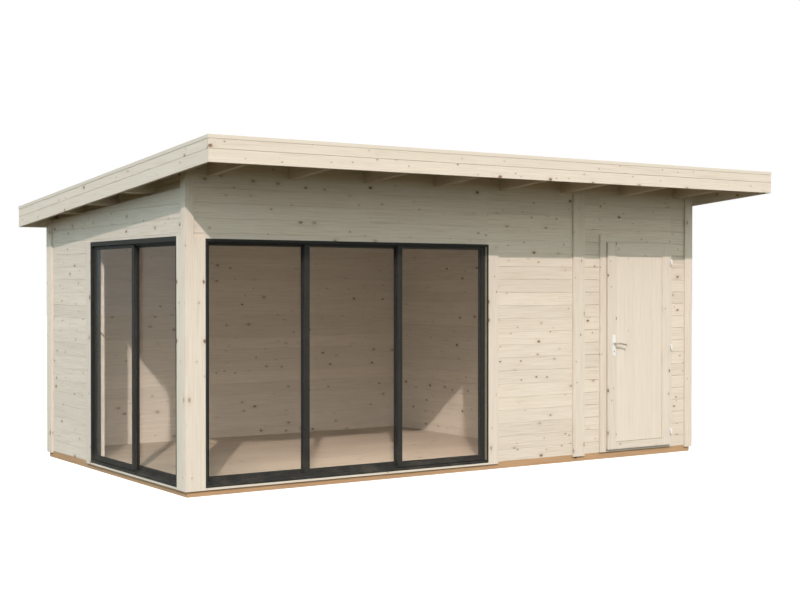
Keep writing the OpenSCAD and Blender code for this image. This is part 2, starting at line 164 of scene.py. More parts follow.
def add(tree, kind, settings=None, **sockets):
    """Adds a node with its settings and its named inputs."""
    made = tree.nodes.new(kind)
    for name, value in (settings or {}).items():
        setattr(made, name, value)
    feed_all(tree, made, **sockets)
    return made


def out(tree, kind, settings=None, **sockets):
    """The first output of a new node."""
    return add(tree, kind, settings, **sockets).outputs[0]


print("helpers for nodes ready")

# %% Helpers for sums and textures


def calc(tree, operation, a, b=0.0, c=0.0):
    """A Math node's result; only MULTIPLY_ADD reads the third value."""
    made = add(tree, "ShaderNodeMath", {"operation": operation})
    for socket, value in zip(made.inputs, (a, b, c)):
        feed(tree, socket, value)
    return made.outputs[0]


def weighted(tree, parts):
    """The sum of values, each times its weight."""
    total = 0.0
    for value, weight in parts:
        total = calc(tree, "MULTIPLY_ADD", value, weight, total)
    return total


def step(tree, value, low, high, to_low=0.0, to_high=1.0):
    """A smooth step of a value from low to high."""
    made = add(tree, "ShaderNodeMapRange", {"interpolation_type": "SMOOTHSTEP"})
    for name, number in zip(("Value", "From Min", "From Max", "To Min", "To Max"),
                            (value, low, high, to_low, to_high)):
        feed(tree, made.inputs[name], number)
    return made.outputs["Result"]


def mix_colours(tree, share, a, b):
    """Two colours mixed by a share."""
    made = add(tree, "ShaderNodeMix", {"data_type": "RGBA"})
    feed(tree, made.inputs[0], share)
    feed(tree, made.inputs[6], a)
    feed(tree, made.inputs[7], b)
    return made.outputs[2]


def stretched(tree, place, scales):
    """A place with its three directions scaled apart."""
    made = add(tree, "ShaderNodeVectorMath", {"operation": "MULTIPLY"})
    feed(tree, made.inputs[0], place)
    made.inputs[1].default_value = scales
    return made.outputs[0]


def noise_at(tree, place, scale, detail=2.0, roughness=0.5):
    """The value of a noise texture."""
    made = add(tree, "ShaderNodeTexNoise", Vector=place, Scale=scale, Detail=detail, Roughness=roughness)
    return made.outputs["Fac"]


def on_piece(tree):
    """The place of a point in its piece's own coordinates."""
    return add(tree, "ShaderNodeTexCoord").outputs["Object"]


def roughen(tree, shader, height, distance, strength):
    """Lets a height bend the light on a shader."""
    feed_all(tree, shader,
             Normal=out(tree, "ShaderNodeBump", Height=height, Distance=distance, Strength=strength))


def by_ray(tree, kind, others, chosen, output):
    """Shows one shader to a kind of ray and the other one to all others."""
    mixed = add(tree, "ShaderNodeMixShader", Fac=add(tree, "ShaderNodeLightPath").outputs[kind])
    feed(tree, mixed.inputs[1], others.outputs[0])
    feed(tree, mixed.inputs[2], chosen.outputs[0])
    feed(tree, tree.nodes[output].inputs["Surface"], mixed.outputs[0])


print("helpers for sums and textures ready")

# %% Helpers for groups and materials
SOCKETS = {"number": "NodeSocketFloat", "whole": "NodeSocketInt", "vector": "NodeSocketVector",
           "colour": "NodeSocketColor", "finish": "NodeSocketMaterial", "geometry": "NodeSocketGeometry"}


def new_group(name, kind, inputs, outputs):
    """A node group with named sockets; returns the tree, what it is given and what it has to be fed."""
    tree = bpy.data.node_groups.new(name, kind)
    for title, form in inputs.items():
        tree.interface.new_socket(name=title, in_out="INPUT", socket_type=SOCKETS[form])
    for title, form in outputs.items():
        tree.interface.new_socket(name=title, in_out="OUTPUT", socket_type=SOCKETS[form])
    return tree, tree.nodes.new("NodeGroupInput").outputs, tree.nodes.new("NodeGroupOutput").inputs


def new_material(name):
    """An empty material with a Principled BSDF; returns the material, its tree and the shader."""
    material = bpy.data.materials.new(name)
    material.use_nodes = True
    return material, material.node_tree, material.node_tree.nodes["Principled BSDF"]


print("helpers for groups and materials ready")

# %% [markdown]
# ## Softwood
# The pod is planed spruce: pale, with fine streaks along the board, now and then a broad flame of
# growth rings, and small brown knots that the grain flows round. A photograph on the planks would do,
# but it would repeat, so the grain is a node group instead. It works in the board's own directions,
# X along the grain and Y across it, and each board adds its own number, so that no two match. Cells of a
# Voronoi texture hold the knots, a sine across the board makes the rings, and stretched noise the fibres.

# %% The softwood group
softwood, given, result = new_group(
    "softwood", "ShaderNodeTree",
    {"Place": "vector", "Board": "number", "Pale": "colour", "Dark": "colour", "Knot": "colour",
     "Knot share": "number", "Board tone": "number"},
    {"Colour": "colour", "Roughness": "number", "Height": "number"})
BOARD_SHIFT = (37.0, 23.0, 0.0)
board_number = given["Board"]

shift = add(softwood, "ShaderNodeVectorMath", {"operation": "SCALE"}, Scale=board_number)
shift.inputs[0].default_value = BOARD_SHIFT
moved = add(softwood, "ShaderNodeVectorMath", {"operation": "ADD"})
feed(softwood, moved.inputs[0], given["Place"])
feed(softwood, moved.inputs[1], shift.outputs[0])
place = moved.outputs[0]
luck = add(softwood, "ShaderNodeTexWhiteNoise", {"noise_dimensions": "1D"}, W=board_number)
lucks = add(softwood, "ShaderNodeSeparateColor", Color=luck.outputs["Color"]).outputs
print("softwood inputs:", ", ".join(socket.name for socket in given if socket.name))

# %% Knots
KNOT_CELLS = (4.6, 7.2, 1.0)
KNOT_SIZES = (0.03, 0.095)
KNOT_LUCK = (0.3, 1.7)
RAGGED_SCALE = 110.0
RAGGED_EDGE = 1.3

cells = add(softwood, "ShaderNodeTexVoronoi", {"voronoi_dimensions": "2D"},
            Vector=stretched(softwood, place, KNOT_CELLS), Scale=1.0)
chances = add(softwood, "ShaderNodeSeparateColor", Color=cells.outputs["Color"]).outputs
board_luck = step(softwood, lucks[1], 0.0, 1.0, *KNOT_LUCK)
share = calc(softwood, "MULTIPLY", given["Knot share"], board_luck)
has_knot = calc(softwood, "LESS_THAN", chances[0], share)
knot_r = step(softwood, calc(softwood, "POWER", chances[1], 2.0), 0.0, 1.0, *KNOT_SIZES)
knot_d = calc(softwood, "DIVIDE", cells.outputs["Distance"], knot_r)
ragged = calc(softwood, "SUBTRACT", noise_at(softwood, place, RAGGED_SCALE), 0.5)
knot_d = calc(softwood, "MULTIPLY_ADD", ragged, RAGGED_EDGE, knot_d)
knot = calc(softwood, "MULTIPLY", step(softwood, knot_d, 0.6, 1.2, 1.0, 0.0), has_knot)
halo = calc(softwood, "MULTIPLY", step(softwood, knot_d, 0.7, 3.6, 1.0, 0.0), has_knot)
print("knots in cells of", [round(1 / c, 3) for c in KNOT_CELLS[:2]], "m")

# %% Rings and fibres
FLOW = (0.55, 4.5, 1.0)
STREAKS = (1.6, 46.0, 1.0)
HAIRS = (3.2, 150.0, 1.0)
FIBRES = (9.0, 620.0, 1.0)
RING_SCALE = 520.0
FLOW_BEND = 0.16
KNOT_BEND = 0.012

flow = noise_at(softwood, stretched(softwood, place, FLOW), 1.0)
across = add(softwood, "ShaderNodeSeparateXYZ", Vector=place).outputs["Y"]
bent = calc(softwood, "ADD", across, weighted(softwood, [(flow, FLOW_BEND), (halo, KNOT_BEND)]))
rings = step(softwood, calc(softwood, "SINE", calc(softwood, "MULTIPLY", bent, RING_SCALE)), -0.6, 1.0)
streaks = noise_at(softwood, stretched(softwood, place, STREAKS), 1.0, 3.0, 0.6)
hairs = noise_at(softwood, stretched(softwood, place, HAIRS), 1.0, 3.0, 0.6)
fibres = noise_at(softwood, stretched(softwood, place, FIBRES), 1.0)
flames = calc(softwood, "MULTIPLY", rings, step(softwood, flow, 0.42, 0.66, 0.15, 0.75))
dark_streaks = step(softwood, streaks, 0.35, 0.75)
dark_hairs = step(softwood, hairs, 0.4, 0.75)
FIGURE = [(flames, 0.5), (dark_streaks, 0.3), (dark_hairs, 0.6), (fibres, 0.12), (halo, 0.35)]
figure = weighted(softwood, FIGURE)
figure.node.use_clamp = True
print("a ring every", round(1000 * math.tau / RING_SCALE, 1), "mm")

# %% Colour, gloss and relief of softwood
RELIEF = [(figure, -0.5), (fibres, 0.35), (knot, 0.6)]
LIVE_KNOT = 0.45
pale, dark, knot_dark = (given[name] for name in ("Pale", "Dark", "Knot"))
tone = calc(softwood, "SUBTRACT", lucks[0], 0.5)
tone = calc(softwood, "MULTIPLY_ADD", tone, given["Board tone"], 1.0)
tinted = add(softwood, "ShaderNodeVectorMath", {"operation": "SCALE"}, Scale=tone)
feed(softwood, tinted.inputs[0], mix_colours(softwood, figure, pale, dark))
live_knot = mix_colours(softwood, LIVE_KNOT, knot_dark, dark)
dead = step(softwood, chances[2], 0.3, 0.6)
knot_colour = mix_colours(softwood, dead, live_knot, knot_dark)
feed(softwood, result["Colour"], mix_colours(softwood, knot, tinted.outputs[0], knot_colour))
feed(softwood, result["Roughness"], step(softwood, streaks, 0.2, 0.9, 0.78, 0.6))
feed(softwood, result["Height"], weighted(softwood, RELIEF))
print("softwood group:", len(softwood.nodes), "nodes")

# %% [markdown]
# The same timber runs three ways on the building, so each finish is made three times: along X on the
# front and back, along Y on the sides, and along Z on posts, corner boards and doors. Only the order of
# the coordinates differs. Adding the two directions across the grain lets one pattern lie right on both
# faces of a board's edge.

# %% Finishes of softwood
GRAIN_RELIEF = 0.0006
DULL = 0.3


def along_grain(tree, axis):
    """Object coordinates turned so that X runs along the grain and Y across it."""
    here = add(tree, "ShaderNodeSeparateXYZ", Vector=on_piece(tree)).outputs
    turned = add(tree, "ShaderNodeCombineXYZ")
    feed(tree, turned.inputs[0], here[axis])
    feed(tree, turned.inputs[1], calc(tree, "ADD", here[(axis + 1) % 3], here[(axis + 2) % 3]))
    return turned.outputs[0]


def softwood_finish(name, pale, dark, knot, knot_share=0.3, board_tone=0.12):
    """The three materials of one timber, for grain along X, Y and Z."""
    made = []
    for axis in (X, Y, Z):
        material, tree, shader = new_material(f"{name}_{AXIS_NAMES[axis]}")
        grain = add(tree, "ShaderNodeGroup", {"node_tree": softwood}, Place=along_grain(tree, axis),
                    Board=add(tree, "ShaderNodeAttribute", {"attribute_name": "board"}).outputs["Fac"],
                    Pale=pale, Dark=dark, Knot=knot, Knot_share=knot_share, Board_tone=board_tone)
        feed_all(tree, shader, Base_Color=grain.outputs["Colour"], Roughness=grain.outputs["Roughness"],
                 Specular_IOR_Level=DULL)
        roughen(tree, shader, grain.outputs["Height"], GRAIN_RELIEF, 0.6)
        made.append(material)
    return made


cladding_wood = softwood_finish("cladding_spruce", (0.765, 0.69, 0.585, 1), (0.61, 0.515, 0.405, 1),
                                (0.22, 0.14, 0.085, 1), knot_share=0.72)
board_wood = softwood_finish("planed_spruce", (0.745, 0.672, 0.568, 1), (0.617, 0.529, 0.421, 1),
                             (0.24, 0.155, 0.095, 1), knot_share=0.85, board_tone=0.06)
panel_wood = softwood_finish("panel_spruce", (0.76, 0.685, 0.58, 1), (0.66, 0.575, 0.465, 1),
                             (0.24, 0.155, 0.095, 1), knot_share=0.1, board_tone=0.03)
rafter_wood = softwood_finish("rafter_spruce", (0.68, 0.60, 0.48, 1), (0.55, 0.455, 0.345, 1),
                              (0.22, 0.14, 0.085, 1), board_tone=0.06)
# The roof spruce is darker than the cladding, partly as the boards' own tone and partly as painted shade of
# the soffit. It also paints the shade in the recessed cores under the side eaves.
dark_roof_wood_and_shade = softwood_finish("roof_spruce_and_painted_shade", (0.64, 0.55, 0.40, 1), (0.50, 0.40, 0.27, 1),
                            (0.16, 0.09, 0.05, 1))
floor_wood = softwood_finish("floor_spruce", (0.585, 0.49, 0.38, 1), (0.44, 0.355, 0.26, 1),
                             (0.17, 0.10, 0.06, 1))
bearer_wood = softwood_finish("treated_bearers", (0.58, 0.37, 0.205, 1), (0.45, 0.265, 0.135, 1),
                              (0.13, 0.07, 0.04, 1), board_tone=0.2)
# The threshold takes a greyer tan spruce than the other timber.
threshold_wood = softwood_finish("grey_tan_threshold", (0.47, 0.43, 0.36, 1), (0.36, 0.32, 0.26, 1),
                                 (0.17, 0.13, 0.09, 1), knot_share=0.1)
print("softwood finishes:", len(bpy.data.materials), "materials")

# %% [markdown]
# ## Metal, glass and felt
# The glazing is powder-coated aluminium, nearly black, with a fine orange-peel surface that spreads the
# highlights, and a little pale dust low down. Glass is clear, and lamps must shine through it: a Mix
# Shader lets the shadow rays pass, or the room behind would be black. The roofing felt is covered with
# slate grains, and the door's fittings are brushed steel.

# %% Black coated aluminium
SPLASH_TOP = 0.45
DUST_ABOVE = 0.2
DUST_ROUGH = 0.5
PEEL_SCALE = 900.0


def coated_metal(name, colour, rough, dust_colour, dust):
    """A powder-coated metal with an orange-peel surface and dust that thickens near the ground."""
    material, tree, shader = new_material(name)
    here = on_piece(tree)
    height = add(tree, "ShaderNodeSeparateXYZ", Vector=here).outputs["Z"]
    low_down = step(tree, height, 0.0, SPLASH_TOP, 1.0, 0.0)
    patches = step(tree, noise_at(tree, here, 7.0, 4.0, 0.65), 0.35, 0.8)
    cover = calc(tree, "MULTIPLY_ADD", low_down, 1 - DUST_ABOVE, DUST_ABOVE)
    cover = calc(tree, "MULTIPLY", calc(tree, "MULTIPLY", cover, patches), dust)
    feed_all(tree, shader, Base_Color=mix_colours(tree, cover, colour, dust_colour),
             Roughness=calc(tree, "MULTIPLY_ADD", cover, DUST_ROUGH, rough), Specular_IOR_Level=DULL)
    roughen(tree, shader, noise_at(tree, here, PEEL_SCALE, 1.0), 0.0001, 0.35)
    return material


black_metal = coated_metal("black_aluminium", (0.028, 0.0275, 0.025, 1), 0.38, (0.19, 0.16, 0.12, 1), 0.3)
trim_metal = coated_metal("edge_trim_aluminium", (0.70, 0.625, 0.52, 1), 0.5, (0.52, 0.45, 0.36, 1), 0.3)
print("coated metals made")

# %% Glass and rubber
GLASS_IOR = 1.45


def clear_glass(name, tint):
    """Window glass that lets the light of lamps through."""
    material, tree, shader = new_material(name)
    film = noise_at(tree, on_piece(tree), 3.0, 3.0)
    feed_all(tree, shader, Base_Color=tint, Transmission_Weight=1.0, IOR=GLASS_IOR,
             Roughness=step(tree, film, 0.4, 0.8, 0.0, 0.03))
    passing = add(tree, "ShaderNodeBsdfTransparent", Color=tint)
    by_ray(tree, "Is Shadow Ray", shader, passing, "Material Output")
    return material


def rubber_seal(name, colour, bloom_colour):
    """Matt rubber with a faint bloom."""
    material, tree, shader = new_material(name)
    bloom = step(tree, noise_at(tree, on_piece(tree), 24.0, 3.0), 0.4, 0.75)
    feed_all(tree, shader, Base_Color=mix_colours(tree, bloom, colour, bloom_colour),
             Roughness=step(tree, bloom, 0.0, 1.0, 0.6, 0.8))
    return material


pane_glass = clear_glass("pane_glass", (0.97, 0.98, 0.97, 1))
seal_rubber = rubber_seal("seal_rubber", (0.012, 0.012, 0.012, 1), (0.03, 0.03, 0.03, 1))
pale_seal = rubber_seal("pale_seal", (0.60, 0.53, 0.43, 1), (0.66, 0.59, 0.48, 1))
pile_strip = rubber_seal("pile_strip", (0.20, 0.17, 0.12, 1), (0.25, 0.215, 0.155, 1))
# A near-black inlay for the keyholes and the crosses of the screws: painted shade for their hollows.
hole_shade_paint = rubber_seal("painted_hole_shade", (0.015, 0.013, 0.011, 1), (0.03, 0.027, 0.022, 1))
print("glass and rubber made")

# %% Felt and steel
FELT_DARK = (0.035, 0.037, 0.04, 1)
FELT_PALE = (0.13, 0.135, 0.14, 1)
FELT_WORN = (0.10, 0.10, 0.095, 1)
BRUSH_DARK = (0.35, 0.34, 0.33, 1)


def slate_felt(name):
    """Roofing felt with a cover of slate grains."""
    material, tree, shader = new_material(name)
    here = on_piece(tree)
    grains = add(tree, "ShaderNodeTexVoronoi", Vector=here, Scale=420.0)
    grain_tone = add(tree, "ShaderNodeSeparateColor", Color=grains.outputs["Color"]).outputs[0]
    wear = noise_at(tree, here, 1.7, 4.0)
    grey = mix_colours(tree, grain_tone, FELT_DARK, FELT_PALE)
    worn = mix_colours(tree, step(tree, wear, 0.35, 0.7), grey, FELT_WORN)
    feed_all(tree, shader, Base_Color=worn, Roughness=step(tree, grain_tone, 0.0, 1.0, 0.75, 0.95))
    roughen(tree, shader, grains.outputs["Distance"], 0.002, 0.7)
    return material


def brushed_steel(name, colour, rough, stretch, bare):
    """Steel with fine brush lines that run along the short scale; what isn't bare is diffuse colour, a
    painted sheen on the near-white plate steel.
    """
    material, tree, shader = new_material(name)
    here = on_piece(tree)
    lines = noise_at(tree, stretched(tree, here, stretch), 1.0, 2.0)
    smears = noise_at(tree, here, 45.0, 3.0)
    brushed = mix_colours(tree, calc(tree, "MULTIPLY", lines, 0.35), colour, BRUSH_DARK)
    roughness = calc(tree, "ADD", weighted(tree, [(lines, 0.15), (smears, 0.12)]), rough)
    feed_all(tree, shader, Base_Color=brushed, Roughness=roughness, Metallic=bare)
    roughen(tree, shader, lines, 0.00005, 0.4)
    return material


felt = slate_felt("slate_felt")
# The plates and hinges take a nearly white, mostly diffuse steel: painted sheen standing in for the bright
# reflection of bare metal.
sheen_white_steel = brushed_steel("brushed_steel", (0.97, 0.96, 0.95, 1), 0.3, (900.0, 900.0, 30.0), 0.1)
lever_steel = brushed_steel("lever_steel", (0.62, 0.58, 0.52, 1), 0.25, (30.0, 900.0, 900.0), 0.8)
screw_steel = brushed_steel("screw_steel", (0.68, 0.62, 0.52, 1), 0.3, (500.0, 500.0, 500.0), 0.3)
print("materials:", len(bpy.data.materials))

# %% [markdown]
# ## Planks by Geometry Nodes
# A wall of this kind is a stack of planks, each with its edges planed off so that two of them leave a V
# where they meet. One plank is a rectangle with cut corners, swept along a line; a line of points carries
# the copies, and each copy is given a random number that the grain reads. The tree has inputs for the
# sizes, so the same one makes walls, floor, roof boards, felt and the panel of the store door.

# %% Helpers for shapes in trees


def rectangle(tree, width, height):
    """A rectangle as a curve."""
    return out(tree, "GeometryNodeCurvePrimitiveQuadrilateral", Width=width, Height=height)


def with_finish(tree, geometry, finish):
    """Geometry with its material set."""
    return out(tree, "GeometryNodeSetMaterial", Geometry=geometry, Material=finish)


def real_mesh(tree, geometry):
    """Instances turned into a plain mesh."""
    return out(tree, "GeometryNodeRealizeInstances", Geometry=geometry)


def enabled(sockets):
    """The last of a node's sockets that its settings leave in use."""
    return [socket for socket in sockets if socket.enabled][-1]


def plain_mesh(thing):
    """The mesh that an object shows; the object itself is removed."""
    ready = thing.evaluated_get(bpy.context.evaluated_depsgraph_get())
    mesh = bpy.data.meshes.new_from_object(ready)
    bpy.data.objects.remove(thing)
    return mesh


def grown(tree, values, start=None):
    """The plain mesh that a Geometry Nodes tree makes from the given inputs."""
    thing = in_scene(tree.name, start or bpy.data.meshes.new(tree.name))
    modifier = thing.modifiers.new("nodes", "NODES")
    modifier.node_group = tree
    for socket in tree.interface.items_tree:
        if socket.in_out == "INPUT" and socket.name in values:
            modifier[socket.identifier] = values[socket.name]
    return plain_mesh(thing)


print("helpers for shapes ready")

# %% The plank tree
plank_tree, given, result = new_group(
    "plank_stack", "GeometryNodeTree",
    {"Run": "number", "Depth": "number", "Pitch": "number", "Joint": "number", "Ease": "number",
     "Planks": "whole", "Seed": "whole", "Finish": "finish"},
    {"Geometry": "geometry"})
end = out(plank_tree, "ShaderNodeCombineXYZ", X=given["Run"])
spine = out(plank_tree, "GeometryNodeCurvePrimitiveLine", End=end)
upright = out(plank_tree, "GeometryNodeSetCurveNormal", {"mode": "Z_UP"}, Curve=spine)
width = calc(plank_tree, "SUBTRACT", given["Pitch"], given["Joint"])
section = out(plank_tree, "GeometryNodeFilletCurve", {"mode": "POLY"}, Count=1, Radius=given["Ease"],
              Curve=rectangle(plank_tree, given["Depth"], width))
plank = out(plank_tree, "GeometryNodeCurveToMesh", Curve=upright, Profile_Curve=section, Fill_Caps=True)
rise = out(plank_tree, "ShaderNodeCombineXYZ", Z=given["Pitch"])
places = out(plank_tree, "GeometryNodeMeshLine", Count=given["Planks"], Offset=rise)
copies = out(plank_tree, "GeometryNodeInstanceOnPoints", Points=places, Instance=plank)
draw = add(plank_tree, "FunctionNodeRandomValue", {"data_type": "FLOAT"}, Seed=given["Seed"])
numbered = add(plank_tree, "GeometryNodeStoreNamedAttribute", {"domain": "INSTANCE", "data_type": "FLOAT"},
               Geometry=copies, Name="board")
feed(plank_tree, enabled(numbered.inputs), enabled(draw.outputs))
stack = with_finish(plank_tree, real_mesh(plank_tree, numbered.outputs[0]), given["Finish"])
feed(plank_tree, result["Geometry"], stack)
print("plank tree:", len(plank_tree.nodes), "nodes")

# %% [markdown]
# ## From meshes to pieces
# A few helpers carry every piece. One trims a mesh with a plane and closes the cut, one puts a stack of
# planks into a box, one makes a plain block, and one joins meshes into a finished piece that rides on its
# body. A finished piece sits at the origin, with its place in its mesh, just as the frame's own nodes do.

# %% Trimming and placing
NEAR_WHOLE = 1e-4


def trim(mesh, point, normal):
    """Cuts away what lies on the normal's side of a plane, and closes the cut."""
    bm = bmesh.new()
    bm.from_mesh(mesh)
    everything = bm.verts[:] + bm.edges[:] + bm.faces[:]
    cut = bmesh.ops.bisect_plane(bm, geom=everything, plane_co=point, plane_no=normal, clear_outer=True)
    rim = [e for e in cut["geom_cut"] if isinstance(e, bmesh.types.BMEdge) and e.is_boundary]
    if rim:
        bmesh.ops.edgeloop_fill(bm, edges=rim)
        bmesh.ops.recalc_face_normals(bm, faces=bm.faces[:])
    bm.to_mesh(mesh)
    bm.free()
    return mesh


def unit(axis, sign=1):
    """The unit vector along one axis."""
    return Vector([sign if i == axis else 0 for i in range(3)])


def planks(low, high, along, across, pitch, first, finish, seed, joint, ease):
    """Planks that fill a box: they run along one axis and are stacked across another, from first on."""
    depth = 3 - along - across
    size = high - low
    count = math.ceil((high[across] - first) / pitch - NEAR_WHOLE)
    mesh = grown(plank_tree, {"Run": size[along], "Depth": size[depth], "Pitch": pitch, "Joint": joint,
                              "Ease": ease, "Planks": count, "Seed": seed, "Finish": finish})
    turn = Matrix([unit(along), unit(depth), unit(across)]).transposed().to_4x4()
    start = Vector((0, 0, 0))
    start[along] = low[along]
    start[depth] = (low[depth] + high[depth]) / 2
    start[across] = first + pitch / 2
    mesh.transform(Matrix.Translation(start) @ turn)
    if turn.determinant() < 0:
        mesh.flip_normals()
    for limit, sign in ((low, -1), (high, 1)):
        reach = first if sign < 0 else first + count * pitch
        if (reach - limit[across]) * sign > joint:
            trim(mesh, limit, unit(across, sign))
    return mesh


print("helpers for planks ready")

# %% Blocks and pieces
SHARP_ANGLE = math.radians(20)


def as_mesh(bm, name, finish):
    """The mesh of a bmesh, with its materials; the bmesh is freed."""
    mesh = bpy.data.meshes.new(name)
    bm.to_mesh(mesh)
    bm.free()
    for material in finish:
        mesh.materials.append(material)
    return mesh


def add_box(bm, low, high):
    """Adds a box to a bmesh."""
    spread = Matrix.Diagonal((*(high - low), 1))
    bmesh.ops.create_cube(bm, size=1.0, matrix=Matrix.Translation((low + high) / 2) @ spread)


def block(low, high, finish):
    """A plain box as a mesh."""
    bm = bmesh.new()
    add_box(bm, low, high)
    return as_mesh(bm, "block", [finish])


def piece(name, meshes, body, slot, stands_for=()):
    """Joins meshes into one finished piece that rides on a body."""
    things = [in_scene(name, mesh) for mesh in meshes]
    made = things[0]
    if len(things) > 1:
        with bpy.context.temp_override(active_object=made, object=made, selected_objects=things,
                                       selected_editable_objects=things):
            bpy.ops.object.join()
    made.name = name
    made.data.shade_smooth()
    made.data.set_sharp_from_angle(angle=SHARP_ANGLE)
    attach(made, body)
    if stands_for:
        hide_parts(*stands_for)
    return made


print("helpers for pieces ready")

# %% [markdown]
# ## Walls
# The seams of the planks run round the whole building at one height, as they do where the courses lock
# into each other at the corners. So the planks don't start at each panel's foot: all of them are counted
# from one seam, and the panel's outline trims them. A thin core behind the joints keeps daylight out.
# On the two sides the planks end a little below the rafters, most at the front, and the core behind them
# is set back and takes the darker roof spruce as painted shade, which leaves the dark band that shows under
# the side eaves.

# %% Where the planks begin and end
PLANK_PITCH = 0.1149
SEAM_Z = 1.7705
WALLS = {"front_header": X, "front_panel": X, "front_end_panel": X, "door_header": X, "back_wall": X,
         "left_header": Y, "left_rear_panel": Y, "right_wall": Y, "partition": Y}
ROOF_NORMAL = Vector((0, FALL, 1)).normalized()
OUTER_SIDES = {"left_header": -1, "left_rear_panel": -1, "right_wall": 1}
SIDE_DROP = 0.085
SIDE_FALL = FALL - SIDE_DROP / (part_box("back_wall")[1].y - FRONT_Y)
SIDE_NORMAL = Vector((0, SIDE_FALL, 1)).normalized()
SEEDS_PER_WALL = 10


def seam_below(z):
    """The highest seam at or below a height."""
    return SEAM_Z - math.ceil((SEAM_Z - z) / PLANK_PITCH) * PLANK_PITCH


def under_roof(mesh, drop):
    """Trims a mesh a little below the underside of the rafters."""
    return trim(mesh, (0, FRONT_Y, eaves_z(FRONT_Y) - drop), ROOF_NORMAL)


def side_top(y):
    """Height at which the planks of the side walls end."""
    return eaves_z(FRONT_Y) - SIDE_DROP - SIDE_FALL * (y - FRONT_Y)


def under_side_eaves(mesh):
    """Trims the planks of a side wall to their own, flatter fall."""
    return trim(mesh, (0, FRONT_Y, side_top(FRONT_Y) - FITTING_GAP), SIDE_NORMAL)


def wall_planks(node, low, high, foot, seam, run=0):
    """Planks of a wall from its foot up to the eaves, with the wall's own seed."""
    along = WALLS[node]
    seed = SEEDS_PER_WALL * list(WALLS).index(node) + run
    stack = planks(low, high, along, Z, PLANK_PITCH, seam_below(foot), cladding_wood[along], seed, **seam)
    return under_side_eaves(stack) if node in OUTER_SIDES else under_roof(stack, FITTING_GAP)


print(f"planks every {PLANK_PITCH} m, side walls fall {SIDE_FALL:.4f} per metre")

# %% The plank walls
TIGHT_SEAM = {"joint": 0.0006, "ease": 0.0018}
OPEN_SEAM = {"joint": 0.0014, "ease": 0.003}
SHORT_RUN = 0.6
CORE_INSET = 0.014
CORE_END = 0.002
EAVES_RECESS = 0.06
partition_low, partition_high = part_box("partition")
joint_x = (partition_low.x + partition_high.x) / 2


def runs_of(node):
    """The boxes of a wall's runs of planks: the front panel changes planks behind the joint board."""
    low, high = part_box(node)
    if node != "front_panel":
        return [(low, high)]
    return [(low, Vector((joint_x, high.y, high.z))), (Vector((joint_x, low.y, low.z)), high)]


for node, along in WALLS.items():
    low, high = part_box(node)
    meshes = []
    for run, (start, stop) in enumerate(runs_of(node)):
        seam = OPEN_SEAM if stop[along] - start[along] < SHORT_RUN else TIGHT_SEAM
        meshes.append(wall_planks(node, start, stop, low.z, seam, run))
    inset = Vector((CORE_END, CORE_INSET, CORE_END) if along == X else (CORE_INSET, CORE_END, CORE_END))
    core_low, core_high = low + inset, high - inset + unit(Z, CORE_END)
    if node in OUTER_SIDES:
        core_low.x = max(core_low.x, low.x + EAVES_RECESS * (OUTER_SIDES[node] < 0))
        core_high.x = min(core_high.x, high.x - EAVES_RECESS * (OUTER_SIDES[node] > 0))
    # The side walls' cores take the darker roof spruce as painted shade in the recess under the eaves.
    core_wood = dark_roof_wood_and_shade if node in OUTER_SIDES else cladding_wood
    meshes.append(under_roof(block(core_low, core_high, core_wood[along]), CORE_END))
    wall = piece(node + "_planks", meshes, BODY_OF[node], "cladding", [node])
    print(wall.name, len(wall.data.polygons), "faces")

# %% [markdown]
# Over the glazing the planks of both headers run on across the corner post. So the post is a timber up to
# the glazing's head, with two stacks of planks above it, one for each face. They take the seeds of the
# headers beside them, and the boards run through.

# %% The corner post
post_low, post_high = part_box("corner_post")
post_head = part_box("front_header")[0].z
CORNER_LAP = 0.06
lap_y = post_low.y + CORNER_LAP
# The post's core above the glazing takes the darker roof spruce as painted shade in the recess under the
# eaves.
post_core = block(Vector((post_low.x + EAVES_RECESS, lap_y, post_head)), post_high, dark_roof_wood_and_shade[Y])
post = [block(post_low, Vector((post_high.x, post_high.y, post_head)), board_wood[Z]),
        wall_planks("front_header", Vector((post_low.x, post_low.y, post_head)),
                    Vector((post_high.x, lap_y, post_high.z)), post_head, TIGHT_SEAM),
        wall_planks("left_header", Vector((post_low.x, lap_y, post_head)), post_high, post_head, TIGHT_SEAM),
        under_roof(post_core, CORE_END)]
piece("corner_post_planks", post, BODY_OF["corner_post"], "cladding", ["corner_post"])
print("corner post clad above", round(post_head, 3), "m")

# %% [markdown]
# ## Floor and roof boards
# The same tree lays the floor and the roof boards. The floor runs round the corner post, so it is laid in
# three fields that share their joints. The roof boards are laid level and then tilted: every point drops
# by the roof's fall, which keeps their thickness upright, as it is in the frame. Short boards close the
# eaves between the rafters, flush with the planks of the front and the back wall. The felt lies on top in
# strips along the building, with a raised lap where two of them meet.

# %% The floor
FLOOR_PITCH = 0.1205
FLOOR_LAY = {"seed": 31, "joint": 0.0008, "ease": 0.0025}
low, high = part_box("floor_boards")
rear_low, rear_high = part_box("left_rear_panel")
side_frame_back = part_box("side_glazing_frame")[1].x
FIELDS = [(post_high.x, low.y, high.x, high.y),
          (rear_high.x, post_high.y, post_high.x, high.y),
          (side_frame_back, post_high.y, rear_high.x, rear_low.y)]
fields = []
for x1, y1, x2, y2 in FIELDS:
    first = low.y + math.floor((y1 - low.y) / FLOOR_PITCH + NEAR_WHOLE) * FLOOR_PITCH
    fields.append(planks(Vector((x1, y1, low.z)), Vector((x2, y2, high.z)), X, Y, FLOOR_PITCH, first,
                         floor_wood[X], **FLOOR_LAY))
floor = piece("floor_planks", fields, BODY_OF["floor_boards"], "floor", ["floor_boards"])
print(floor.name, len(floor.data.polygons), "faces")

